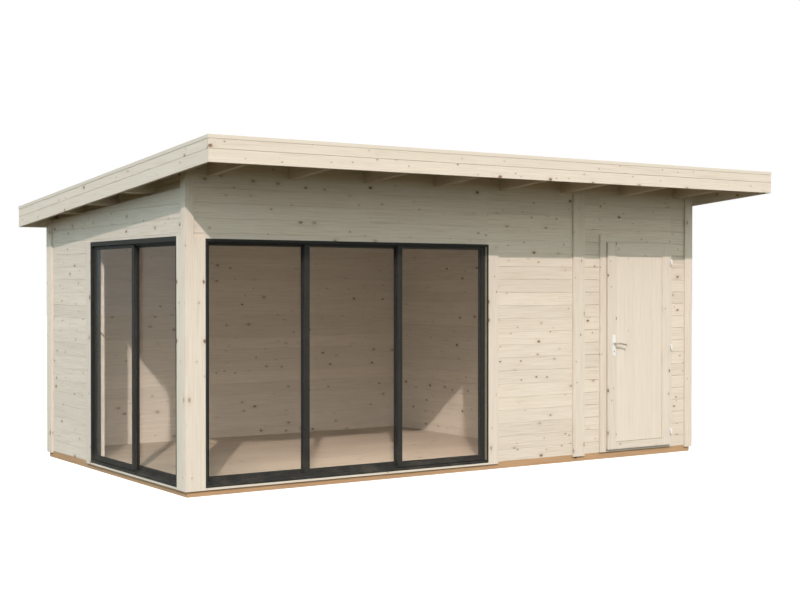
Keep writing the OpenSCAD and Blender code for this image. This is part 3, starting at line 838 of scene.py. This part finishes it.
# %% The roof boards
ROOF_PITCH = 0.121
ROOF_LAY = {"seed": 47, "joint": 0.001, "ease": 0.003}
ROOF_CORE_INSET = Vector((0, 0, 0.006))


def above_rafters(node):
    """Box of a sloping node with its heights taken from the underside of the rafters."""
    low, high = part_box(node)
    low_z, high_z, y = edge_heights(node, "front")
    return Vector((low.x, low.y, low_z - eaves_z(y))), Vector((high.x, high.y, high_z - eaves_z(y)))


def tilted(mesh):
    """Lowers each point of a level mesh by the roof's fall."""
    for v in mesh.vertices:
        v.co.z += eaves_z(v.co.y)
    return mesh


low, high = above_rafters("roof_boards")
boards = planks(low, high, X, Y, ROOF_PITCH, low.y, dark_roof_wood_and_shade[X], **ROOF_LAY)
core = block(low + ROOF_CORE_INSET, high - ROOF_CORE_INSET, dark_roof_wood_and_shade[X])
roof = piece("roof_planks", [tilted(boards), tilted(core)], BODY_OF["roof_boards"], "roof_timber",
             ["roof_boards"])
print(roof.name, len(roof.data.polygons), "faces")

# %% The eaves boards
EAVES_BOARD_T = 0.02
sides = sorted({round(v.co.x, 4) for v in NODES["rafters"].data.vertices})
wall_low, wall_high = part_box("corner_post")[0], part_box("back_wall")[1]
wall_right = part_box("right_wall")[1].x
gaps = zip([wall_low.x] + sides[1::2], sides[0::2] + [wall_right])
eaves_boards = []
for x1, x2 in gaps:
    for y1, y2 in ((FRONT_Y, FRONT_Y + EAVES_BOARD_T), (wall_high.y - EAVES_BOARD_T, wall_high.y)):
        start, stop = Vector((x1 + FITTING_GAP, y1, 0)), Vector((x2 - FITTING_GAP, y2, low.z))
        eaves_boards.append(tilted(block(start, stop, cladding_wood[X])))
piece("eaves_boards", eaves_boards, BODY_OF["eaves_blocking"], "cladding")
print(len(eaves_boards), "eaves boards between", len(sides) // 2, "rafters")

# %% The felt
FELT_WIDTH = 1.02
FELT_STRIPS = 4
FELT_LAY = {"seed": 3, "joint": 0.0, "ease": 0.001}
LAP_WIDTH = 0.08
LAP_RISE = 0.0025
low, high = above_rafters("roof_felt")
strips = planks(low, high, X, Y, FELT_WIDTH, high.y - FELT_STRIPS * FELT_WIDTH, felt, **FELT_LAY)
laps = []
for count in range(1, FELT_STRIPS):
    edge = high.y - count * FELT_WIDTH
    lap_low = Vector((low.x, edge - LAP_WIDTH / 2, high.z - LAP_RISE))
    lap_high = Vector((high.x, edge + LAP_WIDTH / 2, high.z + LAP_RISE))
    laps.append(tilted(block(lap_low, lap_high, felt)))
piece("felt_strips", [tilted(strips), *laps], BODY_OF["roof_felt"], "felt", ["roof_felt"])
print(FELT_STRIPS, "strips of felt with", len(laps), "laps")

# %% [markdown]
# ## Eased timber and metal
# A sawn or extruded edge is never perfectly sharp, and the thin line of light on it is what makes a piece
# look real. Each of these nodes already has the right shape, so its mesh is copied, its flat triangles are
# merged, and its edges are rounded. Each loose solid is a board of its own: it gets its own number for the
# grain, and the material whose grain runs along its longest side.

# %% Solids and boards
WELD = 1e-5
FLAT_ANGLE = math.radians(0.5)


def loose_solids(bm):
    """The groups of faces that hang together, in the order of their faces."""
    taken = set()
    for first in bm.faces:
        if first in taken:
            continue
        group = [first]
        taken.add(first)
        for face in group:
            for edge in face.edges:
                for other in edge.link_faces:
                    if other not in taken:
                        taken.add(other)
                        group.append(other)
        yield group


def merged_copy(node):
    """A node's mesh with its triangles merged into whole faces, ready to be worked on."""
    source = NODES[node].data
    bm = bmesh.new()
    corners = [bm.verts.new(v.co) for v in source.vertices]
    for face in source.polygons:
        bm.faces.new([corners[i] for i in face.vertices])
    bmesh.ops.remove_doubles(bm, verts=bm.verts[:], dist=WELD)
    bmesh.ops.dissolve_limit(bm, angle_limit=FLAT_ANGLE, verts=bm.verts[:], edges=bm.edges[:])
    return bm


def corners_of(group):
    """The vertices of a group of faces, each once and in order."""
    return list(dict.fromkeys(v for face in group for v in face.verts))


def limits(points):
    """Lowest and highest corner of the box round some vertices."""
    return (Vector([min(v.co[i] for v in points) for i in range(3)]),
            Vector([max(v.co[i] for v in points) for i in range(3)]))


def number_boards(bm, finish, seed):
    """Gives each loose solid its own number, and the finish whose grain runs along it."""
    draw = random.Random(seed)
    layer = bm.verts.layers.float.new("board")
    for group in loose_solids(bm):
        points = corners_of(group)
        low, high = limits(points)
        size = list(high - low)
        number = draw.random()
        for v in points:
            v[layer] = number
        for face in group:
            face.material_index = size.index(max(size)) if len(finish) > 1 else 0


print("helpers for boards ready")

# %% Nodes with eased edges
EASE_STEPS = {"segments": 2, "profile": 0.5, "affect": "EDGES"}


def eased(node, ease, finish):
    """A copy of a node with rounded edges."""
    bm = merged_copy(node)
    edges = [e for e in bm.edges if len(e.link_faces) == 2 and e.calc_face_angle() > SHARP_ANGLE]
    bmesh.ops.bevel(bm, geom=edges, offset=ease, clamp_overlap=True, **EASE_STEPS)
    number_boards(bm, finish, node)
    return as_mesh(bm, node, finish)


EASED = {
    "bearers": (0.003, bearer_wood, ["long_bearers", "cross_bearers"]),
    "boards": (0.0012, board_wood, ["corner_boards", "cover_boards", "sill_boards"]),
    "threshold": (0.0015, threshold_wood, ["door_threshold"]),
    "fascia": (0.0006, board_wood, ["front_fascia", "side_fascias", "back_fascia"]),
    "roof_timber": (0.0025, rafter_wood, ["rafters", "lookouts", "eaves_blocking"]),
    "black_frame": (0.0015, [black_metal], [
        "front_glazing_frame", "front_sash_left", "front_sash_middle", "front_sash_right",
        "side_glazing_frame", "side_sash_front", "side_sash_rear"]),
    "trim": (0.0004, [trim_metal], ["edge_trim"]),
    "fittings": (0.0006, [sheen_white_steel], ["hinge_frame_halves", "hinge_leaf_halves", "handle_plates"]),
}
for slot, (ease, finish, nodes) in EASED.items():
    for node in nodes:
        piece(node + "_eased", [eased(node, ease, finish)], BODY_OF[node], slot, [node])
    print(slot, "eased:", ", ".join(nodes))

# %% [markdown]
# The lookouts of the side eaves lie on packers, which fill what the planks leave open below them. Each
# packer takes its place from its lookout, and its height from the gap there.

# %% Packers under the lookouts
PACKER_H = 0.041
bm = merged_copy("lookouts")
packers = []
for group in loose_solids(bm):
    low, high = limits(corners_of(group))
    low.z = -min(PACKER_H, eaves_z(low.y) - side_top(low.y))
    high.z = -FITTING_GAP
    packers.append(tilted(block(low, high, rafter_wood[X])))
bm.free()
piece("lookout_packers", packers, BODY_OF["lookouts"], "roof_timber")
print(len(packers), "packers under the lookouts")

# %% [markdown]
# ## Store door
# The door and its frame are joiner's work: upright stiles and jambs with rails between them, so the grain
# turns at each joint. One solid with one grain would give the game away, so each member is a timber of
# its own, from the same sizes as the frame. The panel is a field of upright boards.

# %% The door's timbers
DOOR_GAP = 0.007
STOP_LAP = 0.015
TIMBER_EASE = 0.002


def timbers(members, finish, seed):
    """Eased boxes, each a board with the grain along its longest side."""
    bm = bmesh.new()
    for corners in members:
        add_box(bm, *corners)
    bmesh.ops.bevel(bm, geom=bm.edges[:], offset=TIMBER_EASE, **EASE_STEPS)
    number_boards(bm, finish, seed)
    return as_mesh(bm, seed, finish)


def member(x1, x2, y1, y2, z1, z2):
    """Two corners of a timber."""
    return Vector((x1, y1, z1)), Vector((x2, y2, z2))


leaf_low, leaf_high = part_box("door_leaf")
panel_low, panel_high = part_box("door_panel")
frame_low, frame_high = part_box("door_frame")
front, back = leaf_low.y, leaf_high.y
leaf_members = [
    member(leaf_low.x, panel_low.x, front, back, leaf_low.z, leaf_high.z),
    member(panel_high.x, leaf_high.x, front, back, leaf_low.z, leaf_high.z),
    member(panel_low.x, panel_high.x, front, back, panel_high.z, leaf_high.z),
    member(panel_low.x, panel_high.x, front, back, leaf_low.z, panel_low.z),
]
lock_edge, hinge_edge, head_z = leaf_low.x - DOOR_GAP, leaf_high.x + DOOR_GAP, leaf_high.z + DOOR_GAP
lock_stop, hinge_stop, head_stop = leaf_low.x + STOP_LAP, leaf_high.x - STOP_LAP, leaf_high.z - STOP_LAP
stop_y = back + DOOR_GAP
frame_members = [
    member(frame_low.x, lock_edge, frame_low.y, frame_high.y, frame_low.z, head_z),
    member(hinge_edge, frame_high.x, frame_low.y, frame_high.y, frame_low.z, head_z),
    member(frame_low.x, frame_high.x, frame_low.y, frame_high.y, head_z, frame_high.z),
    member(lock_edge, lock_stop, stop_y, frame_high.y, frame_low.z, head_z),
    member(hinge_stop, hinge_edge, stop_y, frame_high.y, frame_low.z, head_z),
    member(lock_stop, hinge_stop, stop_y, frame_high.y, head_stop, head_z),
]
piece("door_leaf_timbers", [timbers(leaf_members, board_wood, "leaf")], BODY_OF["door_leaf"], "boards",
      ["door_leaf"])
piece("door_frame_timbers", [timbers(frame_members, board_wood, "door frame")], BODY_OF["door_frame"],
      "boards", ["door_frame"])
print("door:", len(leaf_members), "members in the leaf,", len(frame_members), "in the frame")

# %% The door's panel
PANEL_BOARDS = 5
PANEL_GROOVE = 0.006
PANEL_SHADE = 0.009
PANEL_LAY = {"seed": 71, "joint": 0.0, "ease": 0.0012}
field_low = panel_low + Vector((FITTING_GAP, front + PANEL_SHADE - panel_low.y, PANEL_GROOVE))
field_high = panel_high - Vector((FITTING_GAP, 0, FITTING_GAP))
panel_pitch = (field_high.x - field_low.x) / PANEL_BOARDS
panel = planks(field_low, field_high, Z, X, panel_pitch, field_low.x, panel_wood[Z], **PANEL_LAY)
groove = Vector((0, PANEL_GROOVE, 0))
tongue = block(panel_low + groove, panel_high - groove, panel_wood[Z])
piece("door_panel_boards", [panel, tongue], BODY_OF["door_panel"], "boards", ["door_panel"])
print(PANEL_BOARDS, "panel boards of", round(panel_pitch, 4), "m")

# %% [markdown]
# The gap round the leaf is closed by pale seals, set a little behind the leaf's face. The one at the head
# may come close, but the one at the lock side has to leave room for the leaf's back corner, which swings
# a little outwards before it comes free. A sweep on the leaf closes the gap over the threshold.

# %% The door's seals
SEAL_SET = 0.002
SEAL_DEPTH = 0.014
HEAD_SEAL = 0.005
LOCK_SEAL = 0.004
SWEEP_T = 0.005
SWEEP_GAP_SHARE = 0.3
threshold_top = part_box("door_threshold")[1].z
seal_front = max(front, frame_low.y) + SEAL_SET
seal_back = seal_front + SEAL_DEPTH
seal_z = head_z - HEAD_SEAL
frame_seals = [
    member(lock_edge, hinge_edge, seal_front, seal_back, seal_z, head_z),
    member(lock_edge, lock_edge + LOCK_SEAL, seal_front, seal_back, threshold_top, seal_z),
]
sweep_z = threshold_top + SWEEP_GAP_SHARE * (leaf_low.z - threshold_top)
sweep = member(leaf_low.x + SWEEP_T, leaf_high.x - SWEEP_T, front + SWEEP_T, front + 2 * SWEEP_T,
               sweep_z, leaf_low.z)
strips = [block(*corners, pale_seal) for corners in frame_seals]
piece("door_frame_seals", strips, BODY_OF["door_frame"], "boards")
piece("door_sweep", [block(*sweep, pale_seal)], BODY_OF["door_leaf"], "boards")
print("seals of", len(strips), "strips and a sweep of", round(leaf_low.z - sweep_z, 4), "m")

# %% [markdown]
# ## Glass and its seals
# The panes keep their solids and only take the glass finish. A rubber seal runs round each pane on both
# faces, and that is a sweep along a rectangle, so Geometry Nodes make it: a rectangle for the path, a
# small rounded one for the section.

# %% Seals round the panes
seal_tree, given, result = new_group(
    "pane_seal", "GeometryNodeTree",
    {"Width": "number", "Height": "number", "Bead": "number", "Finish": "finish"}, {"Geometry": "geometry"})
BEAD_ROUNDING = 0.4
path = rectangle(seal_tree, given["Width"], given["Height"])
section = rectangle(seal_tree, given["Bead"], given["Bead"])
rounded = out(seal_tree, "GeometryNodeFilletCurve", {"mode": "POLY"}, Curve=section, Count=3,
              Radius=calc(seal_tree, "MULTIPLY", given["Bead"], BEAD_ROUNDING))
swept = out(seal_tree, "GeometryNodeCurveToMesh", Curve=path, Profile_Curve=rounded)
seal = with_finish(seal_tree, real_mesh(seal_tree, swept), given["Finish"])
feed(seal_tree, result["Geometry"], seal)
print("seal tree:", len(seal_tree.nodes), "nodes")

# %% The panes
SEAL_BEAD = 0.007
PANES = sorted(node for node in NODES if "_glass_" in node)
for node in PANES:
    low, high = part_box(node)
    thin = X if high.x - low.x < high.y - low.y else Y
    wide = Y if thin == X else X
    size, middle = high - low, (low + high) / 2
    turn = Matrix([unit(wide), unit(Z), unit(thin)]).transposed().to_4x4()
    seals = []
    for face in (low[thin], high[thin]):
        mesh = grown(seal_tree, {"Width": size[wide] - SEAL_BEAD, "Height": size.z - SEAL_BEAD,
                                 "Bead": SEAL_BEAD, "Finish": seal_rubber})
        spot = middle.copy()
        spot[thin] = face
        mesh.transform(Matrix.Translation(spot) @ turn)
        bm = bmesh.new()
        bm.from_mesh(mesh)
        bmesh.ops.recalc_face_normals(bm, faces=bm.faces[:])
        bm.to_mesh(mesh)
        bm.free()
        seals.append(mesh)
    piece(node + "_seal", seals, BODY_OF[node], "black_frame")
    NODES[node].material_slots[0].material = pane_glass
print("seals round", len(PANES), "panes")

# %% [markdown]
# Where the right sash closes against the frame's jamb, a strip of brown pile keeps the draught out. It
# lies on the jamb, in front of the sash, so the sash slides away from behind it.

# %% The pile strip
PILE_T = 0.012
PILE_GAP = 0.003
frame_bars = NODES["front_glazing_frame"].data.vertices
glazing_low, glazing_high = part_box("front_glazing_frame")
sash_low, sash_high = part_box("front_sash_right")
jamb_x = max(v.co.x for v in frame_bars if v.co.x < glazing_high.x - PILE_GAP)
pile = block(Vector((jamb_x - PILE_T, glazing_low.y + PILE_GAP, sash_low.z)),
             Vector((jamb_x, sash_low.y - PILE_GAP, sash_high.z)), pile_strip)
piece("jamb_pile_strip", [pile], BODY_OF["front_glazing_frame"], "black_frame")
print("pile strip", round(sash_high.z - sash_low.z, 3), "m long")

# %% [markdown]
# ## Lever
# The lever is one bent bar on each side of the door, so a curve with a round bevel makes it: out of the
# plate, round a bend, and along in a slight droop to an end that is rounded by letting the bar's radius
# shrink. Each plate has a keyhole below the lever, painted as a dark inlay for the shade in the hole.

# %% The lever
lever_low, lever_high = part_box("door_lever")
plate_low, plate_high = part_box("handle_plates")
GRIP_R = 0.008
NECK_R = 0.009
BEND_R = 0.016
BEND_STEPS = 8
NECK_TAPER = 0.95
DROOP = 0.018
GRIP_SHAPE = ((0.2, 0.95), (0.4, 0.9), (0.6, 0.92), (0.8, 1.0), (0.93, 1.08), (0.965, 1.0), (0.985, 0.75),
              (1.0, 0.3))
spindle = Vector(((plate_low.x + plate_high.x) / 2, (front + back) / 2, (lever_low.z + lever_high.z) / 2))


def bent_bar(name, points, radii, finish):
    """A round bar through points, as a mesh."""
    curve = bpy.data.curves.new(name, "CURVE")
    curve.dimensions = "3D"
    curve.bevel_depth = 1.0
    curve.bevel_resolution = 10
    curve.use_fill_caps = True
    spline = curve.splines.new("POLY")
    spline.points.add(len(points) - 1)
    for spot, point, r in zip(spline.points, points, radii):
        spot.co = (*point, 1)
        spot.radius = r
    mesh = plain_mesh(in_scene(name, curve))
    mesh.materials.clear()
    mesh.materials.append(finish)
    return mesh


def lever_bar(face_y, grip_y):
    """One side's lever: from the plate's face out to the grip's line and along it."""
    out = math.copysign(1, grip_y - face_y)
    points = [Vector((spindle.x, face_y, spindle.z)), Vector((spindle.x, grip_y - out * BEND_R, spindle.z))]
    radii = [NECK_R, NECK_R * NECK_TAPER]
    for count in range(1, BEND_STEPS + 1):
        turn = math.radians(count * 90 / BEND_STEPS)
        points.append(Vector((spindle.x + BEND_R * (1 - math.cos(turn)),
                              grip_y - out * BEND_R * (1 - math.sin(turn)), spindle.z)))
        radii.append(GRIP_R)
    bend_end = points[-1].x
    reach = lever_high.x - bend_end
    for along, share in GRIP_SHAPE:
        points.append(Vector((bend_end + along * reach, grip_y, spindle.z - DROOP * along ** 2)))
        radii.append(GRIP_R * share)
    return bent_bar("lever_bar", points, radii, lever_steel)


bars = [lever_bar(front, lever_low.y + NECK_R), lever_bar(back, lever_high.y - NECK_R)]
piece("lever_bars", bars, BODY_OF["door_lever"], "fittings", ["door_lever"])
print("lever made on", len(bars), "sides")

# %% The keyholes
KEY_R = 0.0042
KEY_SLOT = 0.011
KEY_DROP = 0.072
KEY_DEPTH = 0.0006
KEY_SLOT_SHARE = 0.45


def keyhole(face_y):
    """A round hole with a slot below it, as a thin inlay on a plate's face, painted dark for the shade in
    the hole.
    """
    centre = Vector((spindle.x, face_y, spindle.z - KEY_DROP))
    bm = bmesh.new()
    bmesh.ops.create_cone(bm, cap_ends=True, segments=20, radius1=KEY_R, radius2=KEY_R, depth=KEY_DEPTH,
                          matrix=Matrix.Translation(centre) @ Matrix.Rotation(math.pi / 2, 4, "X"))
    slot_half = Vector((KEY_R * KEY_SLOT_SHARE, KEY_DEPTH / 2, KEY_SLOT / 2))
    slot_middle = centre - Vector((0, 0, KEY_SLOT / 2))
    return [as_mesh(bm, "keyhole", [hole_shade_paint]),
            block(slot_middle - slot_half, slot_middle + slot_half, hole_shade_paint)]


piece("keyholes", keyhole(plate_low.y) + keyhole(plate_high.y), BODY_OF["handle_plates"], "fittings")
print("keyholes at", round(spindle.z - KEY_DROP, 3), "m")

# %% [markdown]
# ## Screws
# Each board is held by screws, and they repeat all over the building, so they are instances on points.
# A screw is a low cone with a cross on it, painted dark as the shade in its recess. Every point carries the
# direction that its board faces, and the tree turns each screw to it and then about itself by a random
# angle, as screws are in real life.

# %% The screw tree
screw_tree, given, result = new_group(
    "screws", "GeometryNodeTree",
    {"Geometry": "geometry", "Radius": "number", "Finish": "finish", "Recess": "finish"},
    {"Geometry": "geometry"})
HEAD_SHARE = 0.22
HEAD_TOP = 0.75
SPIN_SEED = 5
CROSS_LONG = 1.1
CROSS_WIDE = 0.24
CROSS_RISE = 0.04


def of_radius(share):
    """A share of the screw's radius."""
    return calc(screw_tree, "MULTIPLY", given["Radius"], share)


cone = out(screw_tree, "GeometryNodeMeshCone", Vertices=12, Radius_Top=of_radius(HEAD_TOP),
           Radius_Bottom=given["Radius"], Depth=of_radius(HEAD_SHARE))
cross = add(screw_tree, "GeometryNodeJoinGeometry")
for long_share, wide_share in ((CROSS_LONG, CROSS_WIDE), (CROSS_WIDE, CROSS_LONG)):
    size = out(screw_tree, "ShaderNodeCombineXYZ", X=of_radius(long_share), Y=of_radius(wide_share),
               Z=of_radius(CROSS_RISE))
    feed(screw_tree, cross.inputs[0], out(screw_tree, "GeometryNodeMeshCube", Size=size))
lift = out(screw_tree, "ShaderNodeCombineXYZ", Z=of_radius(HEAD_SHARE))
raised = out(screw_tree, "GeometryNodeTransform", Geometry=cross.outputs[0], Translation=lift)
whole = add(screw_tree, "GeometryNodeJoinGeometry")
# The raised cross takes the recess finish: painted shade of the screw head's hollow.
for shape, finish in ((cone, "Finish"), (raised, "Recess")):
    feed(screw_tree, whole.inputs[0], with_finish(screw_tree, shape, given[finish]))
facing = add(screw_tree, "GeometryNodeInputNamedAttribute", {"data_type": "FLOAT_VECTOR"}, Name="way")
turned = out(screw_tree, "FunctionNodeAlignRotationToVector", {"axis": "Z"},
             Vector=facing.outputs["Attribute"])
heads = out(screw_tree, "GeometryNodeInstanceOnPoints", Points=given["Geometry"],
            Instance=whole.outputs[0], Rotation=turned)
draw = add(screw_tree, "FunctionNodeRandomValue", {"data_type": "FLOAT"}, Seed=SPIN_SEED)
angle = calc(screw_tree, "MULTIPLY", enabled(draw.outputs), math.tau)
spin = out(screw_tree, "ShaderNodeCombineXYZ", Z=angle)
spun = out(screw_tree, "GeometryNodeRotateInstances", Instances=heads, Rotation=spin)
feed(screw_tree, result["Geometry"], real_mesh(screw_tree, spun))
print("screw tree:", len(screw_tree.nodes), "nodes")

# %% Screws in the boards
SCREW_R = 0.0032
SCREW_PITCH = 0.5
END_INSET = 0.05
WIDE_BOARD = 0.12
ROW_SHARE = 0.28
middle = (Vector(CAD_BOX[0]) + Vector(CAD_BOX[1])) / 2


def board_screws(node):
    """Places and directions of the screws on the outer face of each board of a node."""
    bm = merged_copy(node)
    spots = []
    for group in loose_solids(bm):
        points = corners_of(group)
        low, high = limits(points)
        size = high - low
        sloping = node == "side_fascias"
        thin, wide, run = (X, Z, Y) if sloping else sorted(range(3), key=lambda i: size[i])
        ends = []
        for end in (low[run], high[run]):
            face = [v.co for v in points if abs(v.co[run] - end) < END_INSET]
            ends.append(sum(face, Vector()) / len(face))
        out = math.copysign(1, ends[0][thin] - middle[thin])
        width = size[wide] - (FALL * size[run] if sloping else 0)
        rows = (-ROW_SHARE, ROW_SHARE) if width > WIDE_BOARD else (0,)
        count = max(2, round(size[run] / SCREW_PITCH) + 1)
        for number in range(count):
            share = (END_INSET + number * (size[run] - 2 * END_INSET) / (count - 1)) / size[run]
            for row in rows:
                spot = ends[0].lerp(ends[1], share)
                spot[thin] = high[thin] if out > 0 else low[thin]
                spot[wide] += row * width
                spots.append((spot, unit(thin, out)))
    bm.free()
    return spots


def screws(name, spots, radius, body, slot):
    """Screws at the given places, as one piece."""
    mesh = bpy.data.meshes.new(name)
    mesh.from_pydata([spot for spot, _ in spots], [], [])
    ways = mesh.attributes.new("way", "FLOAT_VECTOR", "POINT")
    for item, (_, way) in zip(ways.data, spots):
        item.vector = way
    made = grown(screw_tree, {"Radius": radius, "Finish": screw_steel, "Recess": hole_shade_paint}, mesh)
    return piece(name, [made], body, slot)


SCREWED = EASED["boards"][-1] + EASED["fascia"][-1]
spots = [spot for node in SCREWED for spot in board_screws(node)]
held = screws("board_screws", spots, SCREW_R, BODY_OF["corner_boards"], "fittings")
print(len(spots), "screws in the boards,", len(held.data.polygons), "faces")

# %% Screws in the plates
PLATE_SCREW_R = 0.0026
PLATE_INSET = 0.011
plate_spots = [(Vector((spindle.x, y, z)), unit(Y, out)) for y, out in ((plate_low.y, -1), (plate_high.y, 1))
               for z in (plate_low.z + PLATE_INSET, plate_high.z - PLATE_INSET)]
screws("plate_screws", plate_spots, PLATE_SCREW_R, BODY_OF["handle_plates"], "fittings")
print(len(plate_spots), "screws in the plates")

# %% [markdown]
# ## Stage and light
# The floor is a wide pale sheet. The key is a warm low sun from the front left, which puts the shadow of
# the eaves across the tops of both walls, and the sky fills the shadows. The camera sees a pale floor and a
# white sky, but the floor gives back only as much light as dark ground would, so that the underside of
# the roof stays dark. Glass and metal mirror a plain gradient of the sky.

# %% The floor of the stage
SHEET_HALF = 60
FLOOR_COLOUR = (0.85, 0.85, 0.84, 1)
FLOOR_ROUGH = 0.9
FLOOR_GLOW = 0.45
WHITE = (1, 1, 1, 1)
GROUND = (0.085, 0.070, 0.042, 1)
GROUND_MIRRORED = (0.175, 0.185, 0.17, 1)

sheet = bpy.data.meshes.new("studio_floor")
sheet_corners = [(SHEET_HALF * x, SHEET_HALF * y, 0) for x, y in ((-1, -1), (1, -1), (1, 1), (-1, 1))]
sheet.from_pydata(sheet_corners, [], [(0, 1, 2, 3)])
studio_floor = in_scene("studio_floor", sheet)
studio_floor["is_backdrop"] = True
material, tree, shader = new_material("pale_floor")
feed_all(tree, shader, Base_Color=FLOOR_COLOUR, Roughness=FLOOR_ROUGH, Emission_Color=WHITE,
         Emission_Strength=FLOOR_GLOW)
in_mirrors = add(tree, "ShaderNodeLightPath").outputs["Is Glossy Ray"]
ground = add(tree, "ShaderNodeBsdfDiffuse", Color=mix_colours(tree, in_mirrors, GROUND, GROUND_MIRRORED))
by_ray(tree, "Is Camera Ray", ground, shader, "Material Output")
sheet.materials.append(material)
print("floor", 2 * SHEET_HALF, "m wide")

# %% The sky
SKY_AHEAD = (0.93, 0.98, 0.93, 1)
SKY_LEFT = (0.72, 0.89, 0.97, 1)
SKY_LIGHT = (1.62, 1.0)
SKY_MIRRORED = (0.31, 1.3)

world = bpy.data.worlds.new("sky")
world.use_nodes = True
tree = world.node_tree
sky = tree.nodes["Background"]
way = add(tree, "ShaderNodeSeparateXYZ", Vector=add(tree, "ShaderNodeTexCoord").outputs["Generated"])
from_left = step(tree, way.outputs["X"], -0.9, 0.1, 1.0, 0.0)
feed(tree, sky.inputs["Color"], mix_colours(tree, from_left, SKY_AHEAD, SKY_LEFT))
lighting = step(tree, way.outputs["Z"], 0.0, 1.0, *SKY_LIGHT)
mirrored = step(tree, way.outputs["Z"], 0.05, 0.7, *SKY_MIRRORED)
glossy = add(tree, "ShaderNodeLightPath").outputs["Is Glossy Ray"]
strength = add(tree, "ShaderNodeMix", {"data_type": "FLOAT"})
for socket, value in zip(strength.inputs[:1] + strength.inputs[2:4], (glossy, lighting, mirrored)):
    feed(tree, socket, value)
feed(tree, sky.inputs["Strength"], strength.outputs[0])
white = add(tree, "ShaderNodeBackground", Color=WHITE, Strength=1.0)
by_ray(tree, "Is Camera Ray", sky, white, "World Output")
bpy.context.scene.world = world
bpy.context.scene.view_settings.view_transform = "Standard"
print("sky:", len(tree.nodes), "nodes")

# %% The sun
SUN_WAY = Vector((0.536, 0.844, -0.630))
SUN_STRENGTH = 2.25
SUN_COLOUR = (1.0, 0.88, 0.87)
SUN_WIDTH_DEG = 0.8

sun_data = bpy.data.lights.new("sun", "SUN")
sun_data.energy = SUN_STRENGTH
sun_data.color = SUN_COLOUR
sun_data.angle = math.radians(SUN_WIDTH_DEG)
sun = in_scene("sun", sun_data)
sun.rotation_euler = SUN_WAY.to_track_quat("-Z", "Y").to_euler()
print("sun at", round(math.degrees(math.asin(-SUN_WAY.normalized().z)), 1), "degrees")

# %% Sizes, and the end
VISUAL_BOX = [list(corner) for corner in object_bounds()]
for name, box in (("frame", CAD_BOX), ("visual", VISUAL_BOX)):
    print(name, "box", [round(b - a, 4) for a, b in zip(*box)])
